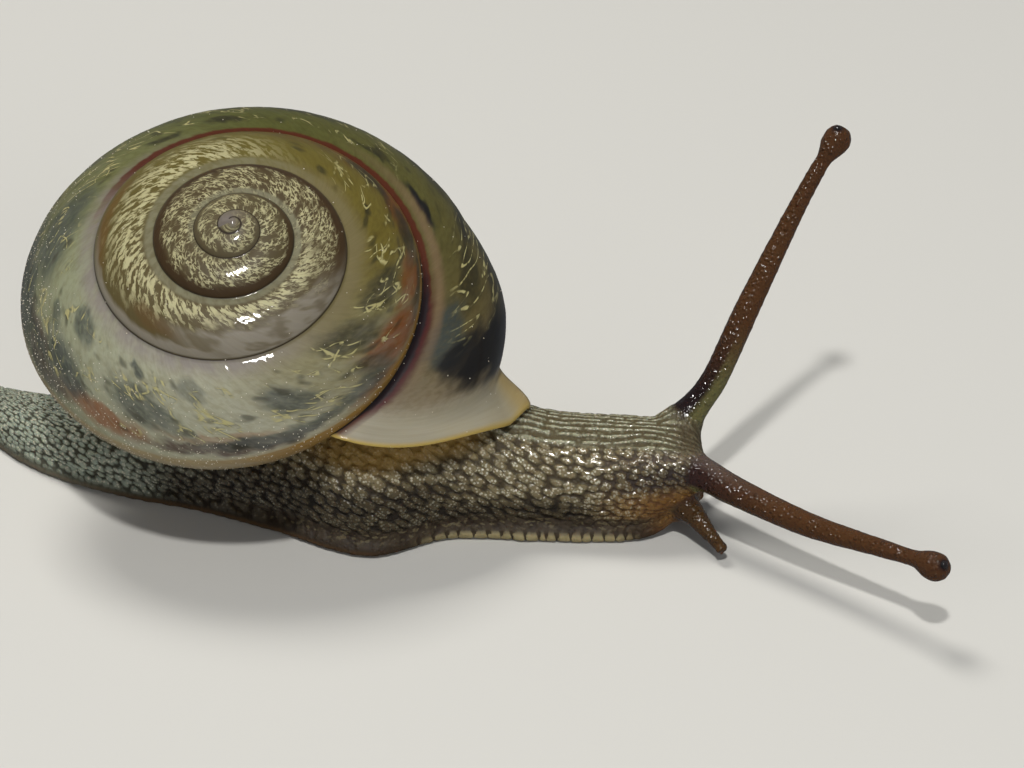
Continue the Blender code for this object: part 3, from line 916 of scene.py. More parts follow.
@dataclass
class Shell:
    """The coiled shell, its thin flared lip and the dust on it."""

    spiral: Spiral = field(default_factory=Spiral)
    first_turn: float = -1.0
    rows_per_turn: int = 360
    top_columns: int = 24
    rim_columns: int = 4
    base_columns: int = 26
    wall_columns: int = 3
    lip_thickness: float = 0.26
    lip_round: float = 0.07
    lip_steps: tuple = ((0.15, 0.7), (0.5, 1.0), (0.85, 0.7))  # shares of its thickness and roundness
    mouth_depth: float = 0.15  # turns that the open mouth goes back into the last whorl
    columella_radius: float = 4.5
    tilt: float = math.radians(29.3)
    yaw: float = math.radians(6.0)
    origin: Place = (-0.73, -2.6, 17.11)
    ripple: float = 0.003  # height of the growth ridges
    ripples_per_turn: tuple[int, ...] = (62, 87, 38)
    wave: float = 0.012  # height of the broad growth waves
    waves_per_turn: tuple[int, ...] = (17, 9)
    apex_rise: float = 0.2
    apex_rings: int = 6
    apex_map: tuple = ((-1.0, 0.4), (0.0, 0.5))  # growth place and distances at the very top
    umbilicus_rise: float = 0.3
    keel_rounds: int = 8
    keel_weight: float = 0.5
    corner_place: float = 3.0
    corner_reach: float = 2.3
    corner_weight: float = 0.6
    corner_rounds: int = 10
    grains_per_square: float = 9.0
    grain_radius: float = 0.022
    seed: int = 11

    def __post_init__(self) -> None:
        """Works out the grid of growth lines that the mesh follows."""
        self.last = round((self.spiral.last_turn - self.first_turn) * self.rows_per_turn)
        self.shift = self.rows_per_turn - round(self.spiral.lip_lag * self.rows_per_turn)
        self.attach = self.last - self.shift
        self.attached = self.top_columns + self.rim_columns
        self.turns = self.spiral.last_turn - (self.last - np.arange(self.last + 1)) / self.rows_per_turn
        self.places = np.concatenate([
            np.linspace(0, 1, self.top_columns + 1),
            1 + np.arange(1, self.rim_columns + 1) / self.rim_columns,
            2 + np.arange(1, self.base_columns + 1) / self.base_columns,
            3 + np.arange(1, self.wall_columns + 1) / self.wall_columns,
        ])
        self.grid = self.growth_lines()
        self.used, self.number = self.numbering()
        self.arc, self.across = self.distances()

    def waves(self, turn: Array) -> Array:
        """Growth ridges and broad waves along the whorls, in millimetres."""
        random = np.random.default_rng(self.seed)
        total = np.zeros_like(turn)
        plans = [(pitch, self.ripple) for pitch in self.ripples_per_turn]
        plans += [(pitch, self.wave) for pitch in self.waves_per_turn]
        for pitch, height in plans:
            wander = 0.35 * np.sin(TURN * turn * random.uniform(1.5, 4) + random.uniform(0, TURN))
            pace = TURN * turn * pitch * random.uniform(0.9, 1.1) + wander * 6
            total += height * np.sin(pace + random.uniform(0, TURN))
        return total * smooth((turn + 0.2) / 1.5) * (0.4 + 0.6 * smooth((turn - 1.5) / 1.5))

    def growth_lines(self) -> Array:
        """The points of every growth line, in the shell's own frame with its axis up."""
        turn, place = np.meshgrid(self.turns, self.places, indexing="ij")
        at = turn - self.spiral.lag(place)
        flat = self.spiral.profile(at, place)
        coarse = np.concatenate([np.arange(7) / 6, (1.5, 2.0), 2 + np.arange(1, 9) / 8, (4.0,)])
        wide = np.broadcast_to(at[..., None], (*at.shape, len(coarse)))
        middle = np.stack([
            self.spiral.profile(wide[:, j], np.broadcast_to(coarse, wide[:, j].shape)).mean(1)
            for j in range(at.shape[1])
        ], 1)
        away = flat - middle
        away /= np.linalg.norm(away, axis=-1, keepdims=True)
        spread = self.spiral.spread(turn, place)
        fade = np.interp(place, (0, 0.08, 0.9, 1.5, 2, 2.2, 2.9, 3), (0, 1, 1, 0.3, 0, 1, 1, 0))
        flat = flat + away * (spread + self.waves(turn) * fade)[..., None]
        flat = self.round_keel(flat)
        angle = self.spiral.phase - TURN * at
        return np.stack([flat[..., 0] * np.cos(angle), flat[..., 0] * np.sin(angle), flat[..., 1]], -1)

    def round_keel(self, flat: Array) -> Array:
        """Takes the sharp corner off the keel, most of all on the last whorl."""
        column = np.arange(flat.shape[1])
        spire = ((column > self.top_columns - 3) & (column < self.attached)).astype(float)
        last = ((column > self.top_columns - 5) & (column < self.attached + 5)).astype(float)
        row = np.arange(flat.shape[0])
        late = (smooth((row - self.attach) / 60) * smooth((self.last - 8 - row) / 12))[:, None]
        weight = ((1 - late) * spire + late * last)[..., None] * self.keel_weight
        for _ in range(self.keel_rounds):
            mean = (np.roll(flat, 1, 1) + np.roll(flat, -1, 1)) / 2
            flat = flat + (mean - flat) * weight
        return flat

    def ring(self, inset: float, rows_back: int, forward: float = 0.0) -> Array:
        """The mouth's edge, moved back into the whorl and drawn in.

        Args:
            inset: how far each point moves towards the middle.
            rows_back: how many growth lines back the ring lies.
            forward: how far the ring is pushed out of the mouth.

        Returns:
            The ring's points: round the lip, then home along the whorl before it.
        """
        lip = self.grid[self.last - rows_back]
        home = self.grid[self.attach - rows_back][:self.attached:-1]
        points = np.concatenate([lip, home])
        inward = points.mean(0) - points
        length = np.linalg.norm(inward, axis=1, keepdims=True)
        from_axis = np.hypot(points[:, 0], points[:, 1])
        inset = inset * (1 + np.maximum(0.0, 1.0 - from_axis / self.columella_radius)[:, None])
        growing = np.stack([points[:, 1], -points[:, 0], np.zeros(len(points))], 1)
        growing /= np.linalg.norm(growing, axis=1, keepdims=True)
        share = np.concatenate([np.ones(len(lip)), np.zeros(len(home))])[:, None]
        return points + inward / length * np.minimum(inset, 0.4 * length) + growing * forward * share

    def matrix(self) -> Matrix:
        """The shell's place on the animal's back, in millimetres."""
        turned = Matrix.Rotation(self.yaw, 4, "Z") @ Matrix.Rotation(self.tilt, 4, "X")
        return Matrix.Translation(Vector(self.origin)) @ turned

    def mesh(self) -> Mesh:
        """The whole shell as one closed mesh in millimetres, with its two maps."""
        net = Net(self.grid[self.used])
        columns = self.grid.shape[1]
        for row in range(self.last):
            for column in range(self.attached if row < self.attach else columns - 1):
                net.face([self.corner(row + i, column + j) for i, j in ((0, 0), (0, 1), (1, 1), (1, 0))])
        apex = [self.corner(row, 0) for row in range(self.shift + 1)]
        apex += [self.corner(0, column) for column in range(self.attached, 0, -1)]
        self.close_fan(net, apex, self.apex_rise, self.apex_rings, np.array(self.apex_map))
        umbilicus = [self.corner(row, columns - 1) for row in range(self.attach, self.last + 1)]
        self.close_fan(net, umbilicus, self.umbilicus_rise)
        self.open_mouth(net)
        mesh = net.mesh("shell_coil")
        mesh.transform(self.matrix())
        point_out(mesh)
        return mesh

    def corner(self, row: int, column: int) -> Corner:
        """A face's corner at a grid place."""
        growth = (self.turns[row], self.places[column])
        return self.number[row, column], growth, (self.arc[row], self.across[row, column])

    def numbering(self) -> tuple[Array, Array]:
        """Which grid places hold a point of their own, and the number of each place's point."""
        used = np.zeros(self.grid.shape[:2], bool)
        used[:, : self.attached] = True
        used[self.attach :, self.attached :] = True
        used[self.attach, self.attached] = False
        number = np.full(used.shape, -1)
        number[used] = np.arange(used.sum())
        number[: self.attach + 1, self.attached] = number[self.shift : self.last + 1, 0]
        return used, number

    def distances(self) -> tuple[Array, Array]:
        """Millimetres along the keel for each growth line, and across the whorl for each point."""
        radius = self.spiral.keel(self.turns + 1)[:, 0]
        along = np.cumsum(TURN * radius / self.rows_per_turn)
        steps = np.linalg.norm(np.diff(self.grid, axis=1), axis=-1)
        across = np.concatenate([np.zeros((len(self.grid), 1)), np.cumsum(steps, 1)], 1)
        return along, across

    @staticmethod
    def close_fan(net: Net, rim: list[Corner], lift: float, steps: int = 1,
                  heart: Array | None = None) -> None:
        """Closes a rim with a dome about its middle.

        Args:
            net: the mesh so far.
            rim: the corners round the rim.
            lift: how far the dome rises above the rim's middle.
            steps: how many rings of faces it has.
            heart: the growth place and the distances at its middle, in place of the rim's mean.
        """
        loop = [one for one, two in zip(rim, rim[1:] + rim[:1]) if one[0] != two[0]]
        places = np.array([net.points[corner[0]] for corner in loop])
        middle = places.mean(0)
        maps = np.array([corner[1:] for corner in loop])
        heart = maps.mean(0) if heart is None else heart
        for share in (step / steps for step in range(1, steps)):
            raised = (0, 0, lift * (1 - (1 - share) ** 2))
            ring = net.loop(places + (middle - places) * share + raised, maps + (heart - maps) * share)
            net.join(loop, ring)
            loop = ring
        net.fan(loop, net.loop([middle + (0, 0, lift)], [heart])[0])

    def open_mouth(self, net: Net) -> None:
        """Makes the lip's rounded edge and the open mouth behind it, from the mesh so far."""
        columns = self.grid.shape[1]
        rim = [self.corner(self.last, j) for j in range(columns)]
        rim += [self.corner(self.attach, j) for j in range(columns - 1, self.attached, -1)]
        deep = round(self.mouth_depth * self.rows_per_turn)
        plans = [(self.lip_thickness * deeper, 0, self.lip_round * out) for deeper, out in self.lip_steps]
        plans += [(self.lip_thickness, back, 0.0) for back in (*range(0, 14), *range(16, deep, 4))]
        for inset, back, forward in plans:
            turn = self.turns[self.last - back]
            maps = [((turn, growth[1]), (arc - back * 0.2, across)) for _, growth, (arc, across) in rim]
            loop = net.loop(self.ring(inset, back, forward), maps)
            net.join(rim, loop, inset > self.lip_thickness * 0.5)
            rim = loop
        middle = np.mean([net.points[corner[0]] for corner in rim], axis=0)
        net.fan(rim, net.loop([middle], [rim[0][1:]])[0], True)

    def round_corner(self, mesh: Mesh) -> None:
        """Softens the corner where the lip meets the shell's axis."""
        column = int(np.argmin(np.abs(self.places - self.corner_place)))
        corner = np.array(self.matrix() @ Vector(self.grid[self.last, column]))
        away = np.linalg.norm(coordinates(mesh) - corner, axis=1)
        near = smooth((self.corner_reach - away) / self.corner_reach)
        relax(mesh, self.corner_weight * near, self.corner_rounds)

    def dustiness(self, mesh: Mesh) -> None:
        """Marks where dust has settled: the lower left of the last whorl and its keel."""
        low = np.full(len(mesh.vertices), 0.0)
        corners = np.empty(len(mesh.loops), np.int32)
        mesh.loops.foreach_get("vertex_index", corners)
        growth = np.empty(len(mesh.loops) * 2, np.float32)
        mesh.uv_layers["growth"].data.foreach_get("uv", growth)
        turn, place_in = growth.reshape(-1, 2).T
        veil = smooth((turn - 2.45) / 0.15) * smooth((3.3 - turn) / 0.25) * smooth((place_in - 0.15) / 0.5)
        veil = veil * smooth((2.3 - place_in) / 0.3)
        rim = bump(place_in, 1.2, 0.7) * smooth((turn - 2.6) / 0.1) * smooth((3.2 - turn) / 0.3)
        left = bump(turn, 2.93, 0.22) * smooth((place_in - 0.3) / 0.3) * smooth((2.0 - place_in) / 0.3)
        dusty = 0.35 * veil + 0.9 * left + rim * 1.2 + 0.03 * smooth((turn - 0.5) / 1.0)
        np.maximum.at(low, corners, dusty)
        mark(mesh, "dust", low)

    def build(self, outside: Material, inside: Material) -> Piece:
        """Makes the shell's piece.

        Args:
            outside, inside: its two materials.

        Returns:
            The piece, still in millimetres.
        """
        mesh = self.mesh()
        self.round_corner(mesh)
        self.dustiness(mesh)
        mesh.materials.append(outside)
        mesh.materials.append(inside)
        return link("shell_coil", mesh)

    def dust(self, shell: Piece, grain: Material) -> Piece:
        """Scatters the grains of dust over a copy of the shell.

        Args:
            shell: the shell's piece.
            grain: the grains' material.

        Returns:
            The grains as one piece, still in millimetres.
        """
        piece = link("shell_dust", shell.data.copy())
        piece.data.materials.clear()
        grow(piece, scatter_tree(), density=self.grains_per_square, grain_radius=self.grain_radius,
             seed=self.seed, material=grain)
        return piece


@dataclass(frozen=True)
class ShellPlace:
    """Where a point of the shell lies, as sockets; bent, later and over are pushed about a little."""

    arc: Socket
    turn: Socket
    place_in: Socket
    across: Socket
    bent: Socket
    later: Socket
    over: Socket


@dataclass(frozen=True)
class ShellFinish:
    """The shell's colours, which follow its growth lines and whorls.

    Places on it are a turn along the spiral and a share across the whorl, from its suture at 0 to
    its keel at 1. Spots list turn, share, half sizes in each, and strength.
    """

    base: tuple[tuple[float, Colour], ...] = (
        (-1.0, (0.18, 0.155, 0.135)), (-0.6, (0.115, 0.092, 0.052)), (0.3, (0.086, 0.066, 0.03)),
        (1.4, (0.072, 0.05, 0.021)), (1.9, (0.098, 0.075, 0.028)), (2.2, (0.128, 0.104, 0.02)),
        (2.45, (0.133, 0.105, 0.018)), (2.6, (0.235, 0.215, 0.115)), (2.7, (0.36, 0.355, 0.265)),
        (2.8, (0.335, 0.34, 0.245)), (2.9, (0.27, 0.285, 0.185)), (3.02, (0.15, 0.155, 0.062)),
        (3.18, (0.082, 0.086, 0.02)), (3.36, (0.09, 0.082, 0.022)), (3.47, (0.095, 0.075, 0.026)),
        (3.53, (0.205, 0.165, 0.105)), (3.553, (0.335, 0.305, 0.225)), (3.568, (0.4, 0.33, 0.165)),
        (3.575, (0.42, 0.3, 0.08)),
    )
    cream: Colour = (0.47, 0.44, 0.25)
    plain: Colour = (0.19, 0.18, 0.11)
    tan: Colour = (0.165, 0.135, 0.062)
    violet: Colour = (0.265, 0.24, 0.195)
    lilac: Colour = (0.22, 0.185, 0.18)
    tawny: Colour = (0.08, 0.032, 0.005)
    amber: Colour = (0.165, 0.046, 0.005)
    slate: Colour = (0.04, 0.05, 0.046)
    umber: Colour = (0.024, 0.021, 0.009)
    black: Colour = (0.007, 0.007, 0.008)
    squiggle: Colour = (0.44, 0.4, 0.18)
    rust: Colour = (0.22, 0.085, 0.032)
    maroon: Colour = (0.05, 0.02, 0.018)
    # suture: partly the suture's own dark line, partly painted shade in the crease between whorls
    suture: Colour = (0.022, 0.012, 0.008)
    band: Colour = (0.076, 0.012, 0.004)
    band_late: Colour = (0.009, 0.004, 0.006)
    wine: Colour = (0.064, 0.006, 0.007)
    blush: Colour = (0.2, 0.13, 0.075)
    ochre: Colour = (0.3, 0.235, 0.12)
    gold: Colour = (0.25, 0.135, 0.018)
    under: Colour = (0.16, 0.125, 0.05)
    strip_late: Colour = (0.1, 0.085, 0.026)
    lip: Colour = (0.335, 0.305, 0.225)
    lip_low: Colour = (0.36, 0.27, 0.12)
    lip_edge: Colour = (0.42, 0.3, 0.08)
    worn: Colour = (0.62, 0.6, 0.5)
    mottled: Colour = (0.74, 0.7, 0.6)
    streaked: Colour = (0.8, 0.77, 0.7)
    ruddy: Colour = (0.62, 0.48, 0.4)
    veil: Colour = (0.27, 0.265, 0.22)
    wall: Colour = (0.2, 0.15, 0.11)
    wall_lip: Colour = (0.4, 0.35, 0.24)
    wall_cloud: Colour = (0.28, 0.2, 0.16)
    slate_spots: tuple = (
        (2.985, 0.42, 0.045, 0.26, 0.85), (2.995, 0.8, 0.055, 0.2, 0.95), (2.855, 0.26, 0.017, 0.12, 0.8),
        (2.905, 0.46, 0.012, 0.06, 0.7), (2.885, 0.66, 0.03, 0.17, 0.95), (2.79, 0.56, 0.032, 0.2, 0.8),
        (2.724, 0.31, 0.014, 0.11, 0.55), (2.655, 0.53, 0.024, 0.19, 0.85), (2.7, 0.84, 0.07, 0.07, 0.8),
        (2.778, 0.25, 0.006, 0.04, 0.9), (2.62, 0.86, 0.03, 0.09, 0.8), (3.466, 0.22, 0.026, 0.15, 0.95),
        (2.93, 0.84, 0.045, 0.13, 0.85), (3.488, 0.3, 0.016, 0.14, 0.9),
    )
    umber_spots: tuple = (
        (2.49, 0.46, 0.03, 0.2, 0.85), (2.385, 0.82, 0.035, 0.12, 0.9), (2.297, 0.29, 0.01, 0.07, 0.8),
        (2.383, 0.38, 0.008, 0.06, 0.9), (2.455, 0.83, 0.035, 0.12, 0.9), (2.553, 0.36, 0.028, 0.24, 0.85),
        (2.59, 0.72, 0.018, 0.14, 0.8), (2.52, 0.92, 0.04, 0.07, 0.7), (3.095, 0.17, 0.016, 0.05, 0.9),
        (3.158, 0.24, 0.018, 0.06, 0.95), (3.29, 0.26, 0.022, 0.04, 0.8), (3.433, 0.45, 0.026, 0.13, 0.85),
        (3.36, 0.62, 0.03, 0.12, 0.7), (3.25, 0.55, 0.03, 0.12, 0.7), (3.47, 0.8, 0.05, 0.12, 0.9),
    )
    black_spots: tuple = (
        (3.352, 0.2, 0.026, 0.055, 1.0), (3.496, 0.42, 0.02, 0.2, 0.95), (3.507, 0.62, 0.027, 0.26, 1.0),
        (3.514, 0.84, 0.029, 0.26, 1.0), (3.514, 1.06, 0.034, 0.22, 1.0), (3.47, 1.02, 0.05, 0.13, 0.95),
        (3.42, 1.0, 0.05, 0.1, 0.8), (3.405, 0.62, 0.014, 0.13, 0.75),
    )
    amber_spots: tuple = (
        (2.565, 0.78, 0.034, 0.22, 0.95), (2.5, 0.78, 0.03, 0.12, 0.8), (2.43, 0.86, 0.03, 0.14, 0.7),
        (2.36, 0.92, 0.04, 0.1, 0.5), (2.04, 0.84, 0.07, 0.12, 0.3), (1.84, 0.7, 0.04, 0.14, 0.2),
        (2.62, 0.95, 0.03, 0.08, 0.6),
    )
    rust_spots: tuple = (
        (2.852, 0.8, 0.045, 0.12, 0.95), (2.92, 0.86, 0.04, 0.07, 0.6), (2.745, 0.76, 0.05, 0.05, 0.5),
    )
    maroon_spots: tuple = (
        (2.935, 0.72, 0.035, 0.07, 0.8), (2.745, 0.87, 0.075, 0.08, 0.9), (3.02, 0.95, 0.06, 0.06, 0.7),
    )
    first: float = -1.0  # the turns that the base's colours run between
    final: float = 3.6
    scatter_mm: Place = (1.0, 0.7, 0.35)
    wall_scatter_mm: Place = (1.0, 0.7, 0.4)

    def share(self, turn: float) -> float:
        """Where a turn lies between the first and the final one."""
        return (turn - self.first) / (self.final - self.first)

    def outside(self, groups: Groups) -> Material:
        """The outer surface.

        Args:
            groups: the shared shader groups.

        Returns:
            The material.
        """
        paint = Paint("shell outside", groups)
        growth, arc = paint.uv("growth"), paint.uv("arc")
        turn, place_in, _ = paint.parts(growth)
        _, across, _ = paint.parts(arc)
        warp = paint.drift(arc, 0.8, 1.6, (0.024, 0.2, 0.0))
        bent = paint.vectors("ADD", growth, warp)
        later, over, _ = paint.parts(bent)
        at = ShellPlace(arc, turn, place_in, across, bent, later, over)
        aged = paint.sum("DIVIDE", paint.sum("SUBTRACT", turn, self.first), self.final - self.first)
        paint.colour = paint.ramp(aged, tuple((self.share(stop), colour) for stop, colour in self.base))
        cloud = paint.noise(arc, 0.7, 3.0)
        worn = paint.times(paint.ease(cloud, 0.5, 0.25), paint.ease(turn, 1.9, 2.3), 0.5)
        paint.coat(self.worn, worn, blend="MULTIPLY")
        mottle = paint.times(paint.patches(arc, 2.6, 0.42, 0.62, 3.0), paint.ease(turn, 2.0, 2.5))
        paint.coat(self.mottled, mottle, 0.45, blend="MULTIPLY")
        for layer in (self.flecks, self.blotches, self.squiggles, self.bands, self.below):
            layer(paint, at)
        lines = paint.group(groups.growth, {"Arc": arc})
        streak = paint.times(lines.outputs["Streak"], paint.ease(turn, 0.3, 2.4))
        paint.coat(self.streaked, streak, 0.4, blend="MULTIPLY")
        # A dark line along the suture, partly its own colour and partly painted shade in the crease between
        # whorls
        edge = paint.times(paint.ease(across, 0.09, 0.02), paint.ease(place_in, 1.0, 0.8))
        paint.coat(self.suture, edge, 0.9)
        veil = paint.times(paint.band(turn, 2.5, 3.08, 0.1), paint.ease(place_in, 0.0, 0.6))
        veil = paint.times(veil, paint.ease(place_in, 2.4, 1.9))
        paint.coat(self.veil, veil, paint.patches(arc, 0.9, 0.3, 0.8), 0.28)
        rough = paint.graded(veil, 0.1, paint.graded(cloud, 0.16, 0.4))
        return paint.close(Feel.POLISHED, lines.outputs["Height"], 0.006, rough, 0.14, self.scatter_mm)

    def flecks(self, paint: Paint, at: ShellPlace) -> None:
        """Cream flecks on the spire: a broken net within, slanting strokes on the third whorl.

        Args:
            paint: the shell's material.
            at: where its points lie.
        """
        arc, over, later = at.arc, at.over, at.later
        outer = paint.ease(over, 0.66, 0.86)
        early = paint.ease(at.turn, 1.62, 1.5)
        paint.coat(self.ruddy, outer, early, paint.ease(at.turn, 0.2, 0.5), blend="MULTIPLY")
        bend = paint.drift(arc, 3.2, 2.0, (0.55, 0.55, 0.0))
        strayed = paint.vectors("ADD", arc, bend)
        mesh = paint.ease(paint.cells(strayed, "DISTANCE_TO_EDGE", 2.7, 1.0, "2D"), 0.16, 0.03)
        clots = paint.patches(arc, 3.6, 0.52, 0.6, 3.0)
        lace = paint.patches(arc, 1.2, 0.37, 0.55)
        torn = paint.patches(arc, 5.5, 0.36, 0.5)
        net = paint.times(paint.sum("MAXIMUM", paint.times(mesh, torn), clots), lace)
        shown = paint.times(paint.ease(later, 1.66, 1.42), paint.ease(later, -0.95, -0.5))
        spire = paint.times(net, shown, paint.band(over, 0.02, 0.8, 0.07))
        paint.coat(self.cream, spire, 0.88)
        strokes = paint.patches(paint.scaled(strayed, (2.8, 1.35, 1.0)), 1.0, 0.45, 0.56, 3.0)
        ragged = paint.graded(paint.ease(later, 1.72, 1.95), -0.22, over)
        fading = paint.ease(paint.graded(paint.noise(arc, 1.6, 2.0), 0.5, ragged), 0.88, 0.5)
        shown = paint.band(later, 1.46, 2.2, 0.08)
        paint.coat(self.cream, strokes, shown, paint.ease(over, 0.13, 0.2), fading, 0.95)
        calm = paint.times(paint.ease(at.place_in, 0.17, 0.1), paint.band(later, 0.9, 2.3, 0.25))
        uneven = paint.graded(paint.patches(arc, 1.7, 0.35, 0.6, 3.0), 0.4, 0.5)
        paint.coat(self.plain, calm, uneven)
        pale = paint.times(paint.ease(over, 0.32, 0.1), paint.band(later, 2.25, 2.62, 0.12))
        paint.coat(self.tan, pale, 0.8)

    def blotches(self, paint: Paint, at: ShellPlace) -> None:
        """Soft patches on the later whorls: warm ones first, then slate, umber and black ones.

        Args:
            paint: the shell's material.
            at: where its points lie.
        """
        arc, bent, over, later = at.arc, at.bent, at.over, at.later
        grain = paint.ease(paint.noise(arc, 3.0, 3.0), 0.25, 0.6)
        wash = paint.times(paint.band(later, 2.26, 2.62, 0.07), paint.ease(over, 0.58, 0.85))
        paint.coat(self.tawny, wash, paint.graded(paint.patches(arc, 1.1, 0.35, 0.6), 0.4, 0.25))
        plans = (
            (self.rust, self.rust_spots), (self.maroon, self.maroon_spots), (self.amber, self.amber_spots),
            (self.slate, self.slate_spots), (self.umber, self.umber_spots),
        )
        for colour, spots in plans:
            paint.coat(colour, paint.spots(bent, spots), paint.graded(grain, 0.3, 0.66))
        small = paint.patches(paint.scaled(arc, (0.75, 0.9, 1.0)), 1.0, 0.58, 0.74, 1.0)
        where = paint.times(paint.band(later, 2.2, 3.4, 0.1), paint.band(over, 0.2, 0.95, 0.06))
        paint.coat(self.umber, small, where, 0.7)
        paint.coat(self.black, paint.spots(bent, self.black_spots), 0.97)

    def squiggles(self, paint: Paint, at: ShellPlace) -> None:
        """Pale strokes that wander over the last whorls, and nested ones before the lip.

        Args:
            paint: the shell's material.
            at: where its points lie.
        """
        arc, over, later = at.arc, at.over, at.later
        shown = paint.patches(arc, 0.5, 0.51, 0.58, 0.0)
        fields = paint.times(shown, paint.band(later, 2.32, 3.3, 0.06), paint.band(over, 0.22, 0.8, 0.05))
        nested = paint.times(paint.band(later, 3.4, 3.478, 0.015), paint.band(over, 0.3, 0.82, 0.1))
        plans = (
            ((0.85, 0.5, 1.0), 0.034, fields), ((0.42, 0.85, 1.0), 0.022, fields),
            ((1.0, 0.3, 1.0), 0.036, nested),
        )
        for squeeze, thin, where in plans:
            cloud = paint.noise(paint.scaled(arc, squeeze), 1.0, 0.6)
            off = paint.sum("ABSOLUTE", paint.sum("SUBTRACT", cloud, 0.5))
            faint = paint.times(where, paint.graded(paint.patches(arc, 2.0, 0.43, 0.54), 0.85, 0.08))
            paint.coat(self.umber, paint.ease(off, 2.4 * thin, thin), faint, 0.35)
            paint.coat(self.squiggle, paint.ease(off, thin, 0.3 * thin), faint)

    def bands(self, paint: Paint, at: ShellPlace) -> None:
        """The violet-grey stretch on the third whorl, and the red band by the last suture.

        Args:
            paint: the shell's material.
            at: where its points lie.
        """
        arc, turn, place_in, across = at.arc, at.turn, at.place_in, at.across
        over, later = at.over, at.later
        cloudy = paint.patches(arc, 0.8, 0.36, 0.56)
        violet = paint.times(paint.band(later, 1.56, 1.8, 0.05), paint.ease(over, 0.52, 0.66))
        violet = paint.times(violet, paint.graded(cloudy, 0.6, 0.4))
        late = paint.times(paint.band(later, 1.75, 2.0, 0.06), paint.ease(over, 0.84, 0.92))
        shade = paint.sum("MAXIMUM", violet, late)
        paint.coat(self.violet, shade, paint.ease(place_in, 1.9, 1.2), 0.8)
        inner = paint.ease(place_in, 1.0, 0.8)
        lilac = paint.times(paint.ease(across, 1.5, 0.3), paint.band(turn, 2.6, 3.06, 0.08), inner)
        paint.coat(self.lilac, lilac, paint.graded(cloudy, 0.35, 0.4))
        stray = paint.graded(paint.noise(arc, 1.2, 2.0), 0.3, paint.sum("SUBTRACT", across, 0.15))
        red = paint.times(paint.band(stray, 0.1, 0.6, 0.1), paint.ease(turn, 2.93, 3.05), inner)
        paint.coat(self.band, red, 0.93)
        blush = paint.times(paint.band(stray, 0.8, 1.5, 0.3), paint.band(turn, 3.3, 3.5, 0.07), inner)
        paint.coat(self.blush, blush, 0.6)
        reach = paint.graded(paint.ease(turn, 3.52, 3.57), 0.7, stray)
        wine = paint.times(paint.ease(reach, 1.15, 0.6), paint.ease(later, 3.4, 3.45), inner)
        paint.coat(self.wine, wine, 0.9)
        dark = paint.times(paint.ease(reach, 0.62, 0.34), paint.ease(later, 3.38, 3.43), inner)
        paint.coat(self.band_late, dark, 0.96)
        # A black seam along the suture of the later whorls, partly its own colour and partly painted shade
        # in the crease
        seam = paint.times(paint.ease(across, 0.16, 0.07), paint.ease(turn, 3.1, 3.35), inner)
        paint.coat(self.black, seam, 0.9)

    def below(self, paint: Paint, at: ShellPlace) -> None:
        """The pale strip on the keel and the plainer base under it.

        Args:
            paint: the shell's material.
            at: where its points lie.
        """
        arc, turn, place_in = at.arc, at.turn, at.place_in
        late = paint.ease(turn, 2.3, 2.55)
        strip = paint.mix(paint.ease(turn, 2.8, 2.7), self.ochre, self.gold)
        strip = paint.mix(paint.ease(turn, 2.95, 3.1), strip, self.strip_late)
        paint.coat(strip, paint.ease(place_in, 0.94, 1.05), late)
        clouds = paint.patches(paint.scaled(arc, (0.5, 0.2, 1.0)), 1.0, 0.35, 0.65)
        base = paint.mix(clouds, self.under, self.gold)
        paint.coat(base, paint.ease(place_in, 2.02, 2.25), late)
        lip = paint.ease(turn, 3.53, 3.556)
        paint.coat(self.lip, lip, paint.ease(place_in, 0.0, 0.1))
        paint.coat(self.lip_low, lip, paint.ease(place_in, 0.75, 1.5))
        paint.coat(self.lip_edge, paint.ease(turn, 3.569, 3.5745))

    def inside(self, groups: Groups) -> Material:
        """The smooth wall behind the lip."""
        paint = Paint("shell inside", groups)
        arc = paint.uv("arc")
        turn, _, _ = paint.parts(paint.uv("growth"))
        paint.colour = paint.mix(paint.ease(turn, 3.5, 3.57), self.wall, self.wall_lip)
        paint.coat(self.wall_cloud, paint.patches(paint.place, 0.4, 0.4, 0.7), 0.4)
        lines = paint.group(groups.growth, {"Arc": arc, "Lines Per Millimetre": 3.0})
        return paint.close(Feel.POLISHED, lines.outputs["Height"], 0.01, None, 0.15, self.wall_scatter_mm)


# ---------------- body


@dataclass(frozen=True)
class Tube:
    """A tentacle: its path from inside the head to its tip, and its radii by share of its length."""

    name: str
    path: tuple[Place, ...]
    radii: tuple[tuple[float, float], ...]
    facing: Place  # the side that its front colour is on
    bulb: bool = False

    def at(self, share: float) -> Array:
        """The middle of the tentacle at this share of its path."""
        table = tuple((i / (len(self.path) - 1), *p) for i, p in enumerate(self.path))
        return np.array(through(table, share))

    def ring(self, share: float, count: int = 36) -> Array:
        """The points round the tentacle at this share of its path."""
        _, side, up = directions(self.at(min(share + 0.01, 1)) - self.at(max(share - 0.01, 0)))
        return hoop(self.at(share), side, up, through(self.radii, share)[0], count)

    def mesh(self, count: int = 90) -> Mesh:
        """The tentacle as a closed tube in millimetres."""
        return loft([self.ring(share) for share in np.linspace(0, 1, count)], self.name)


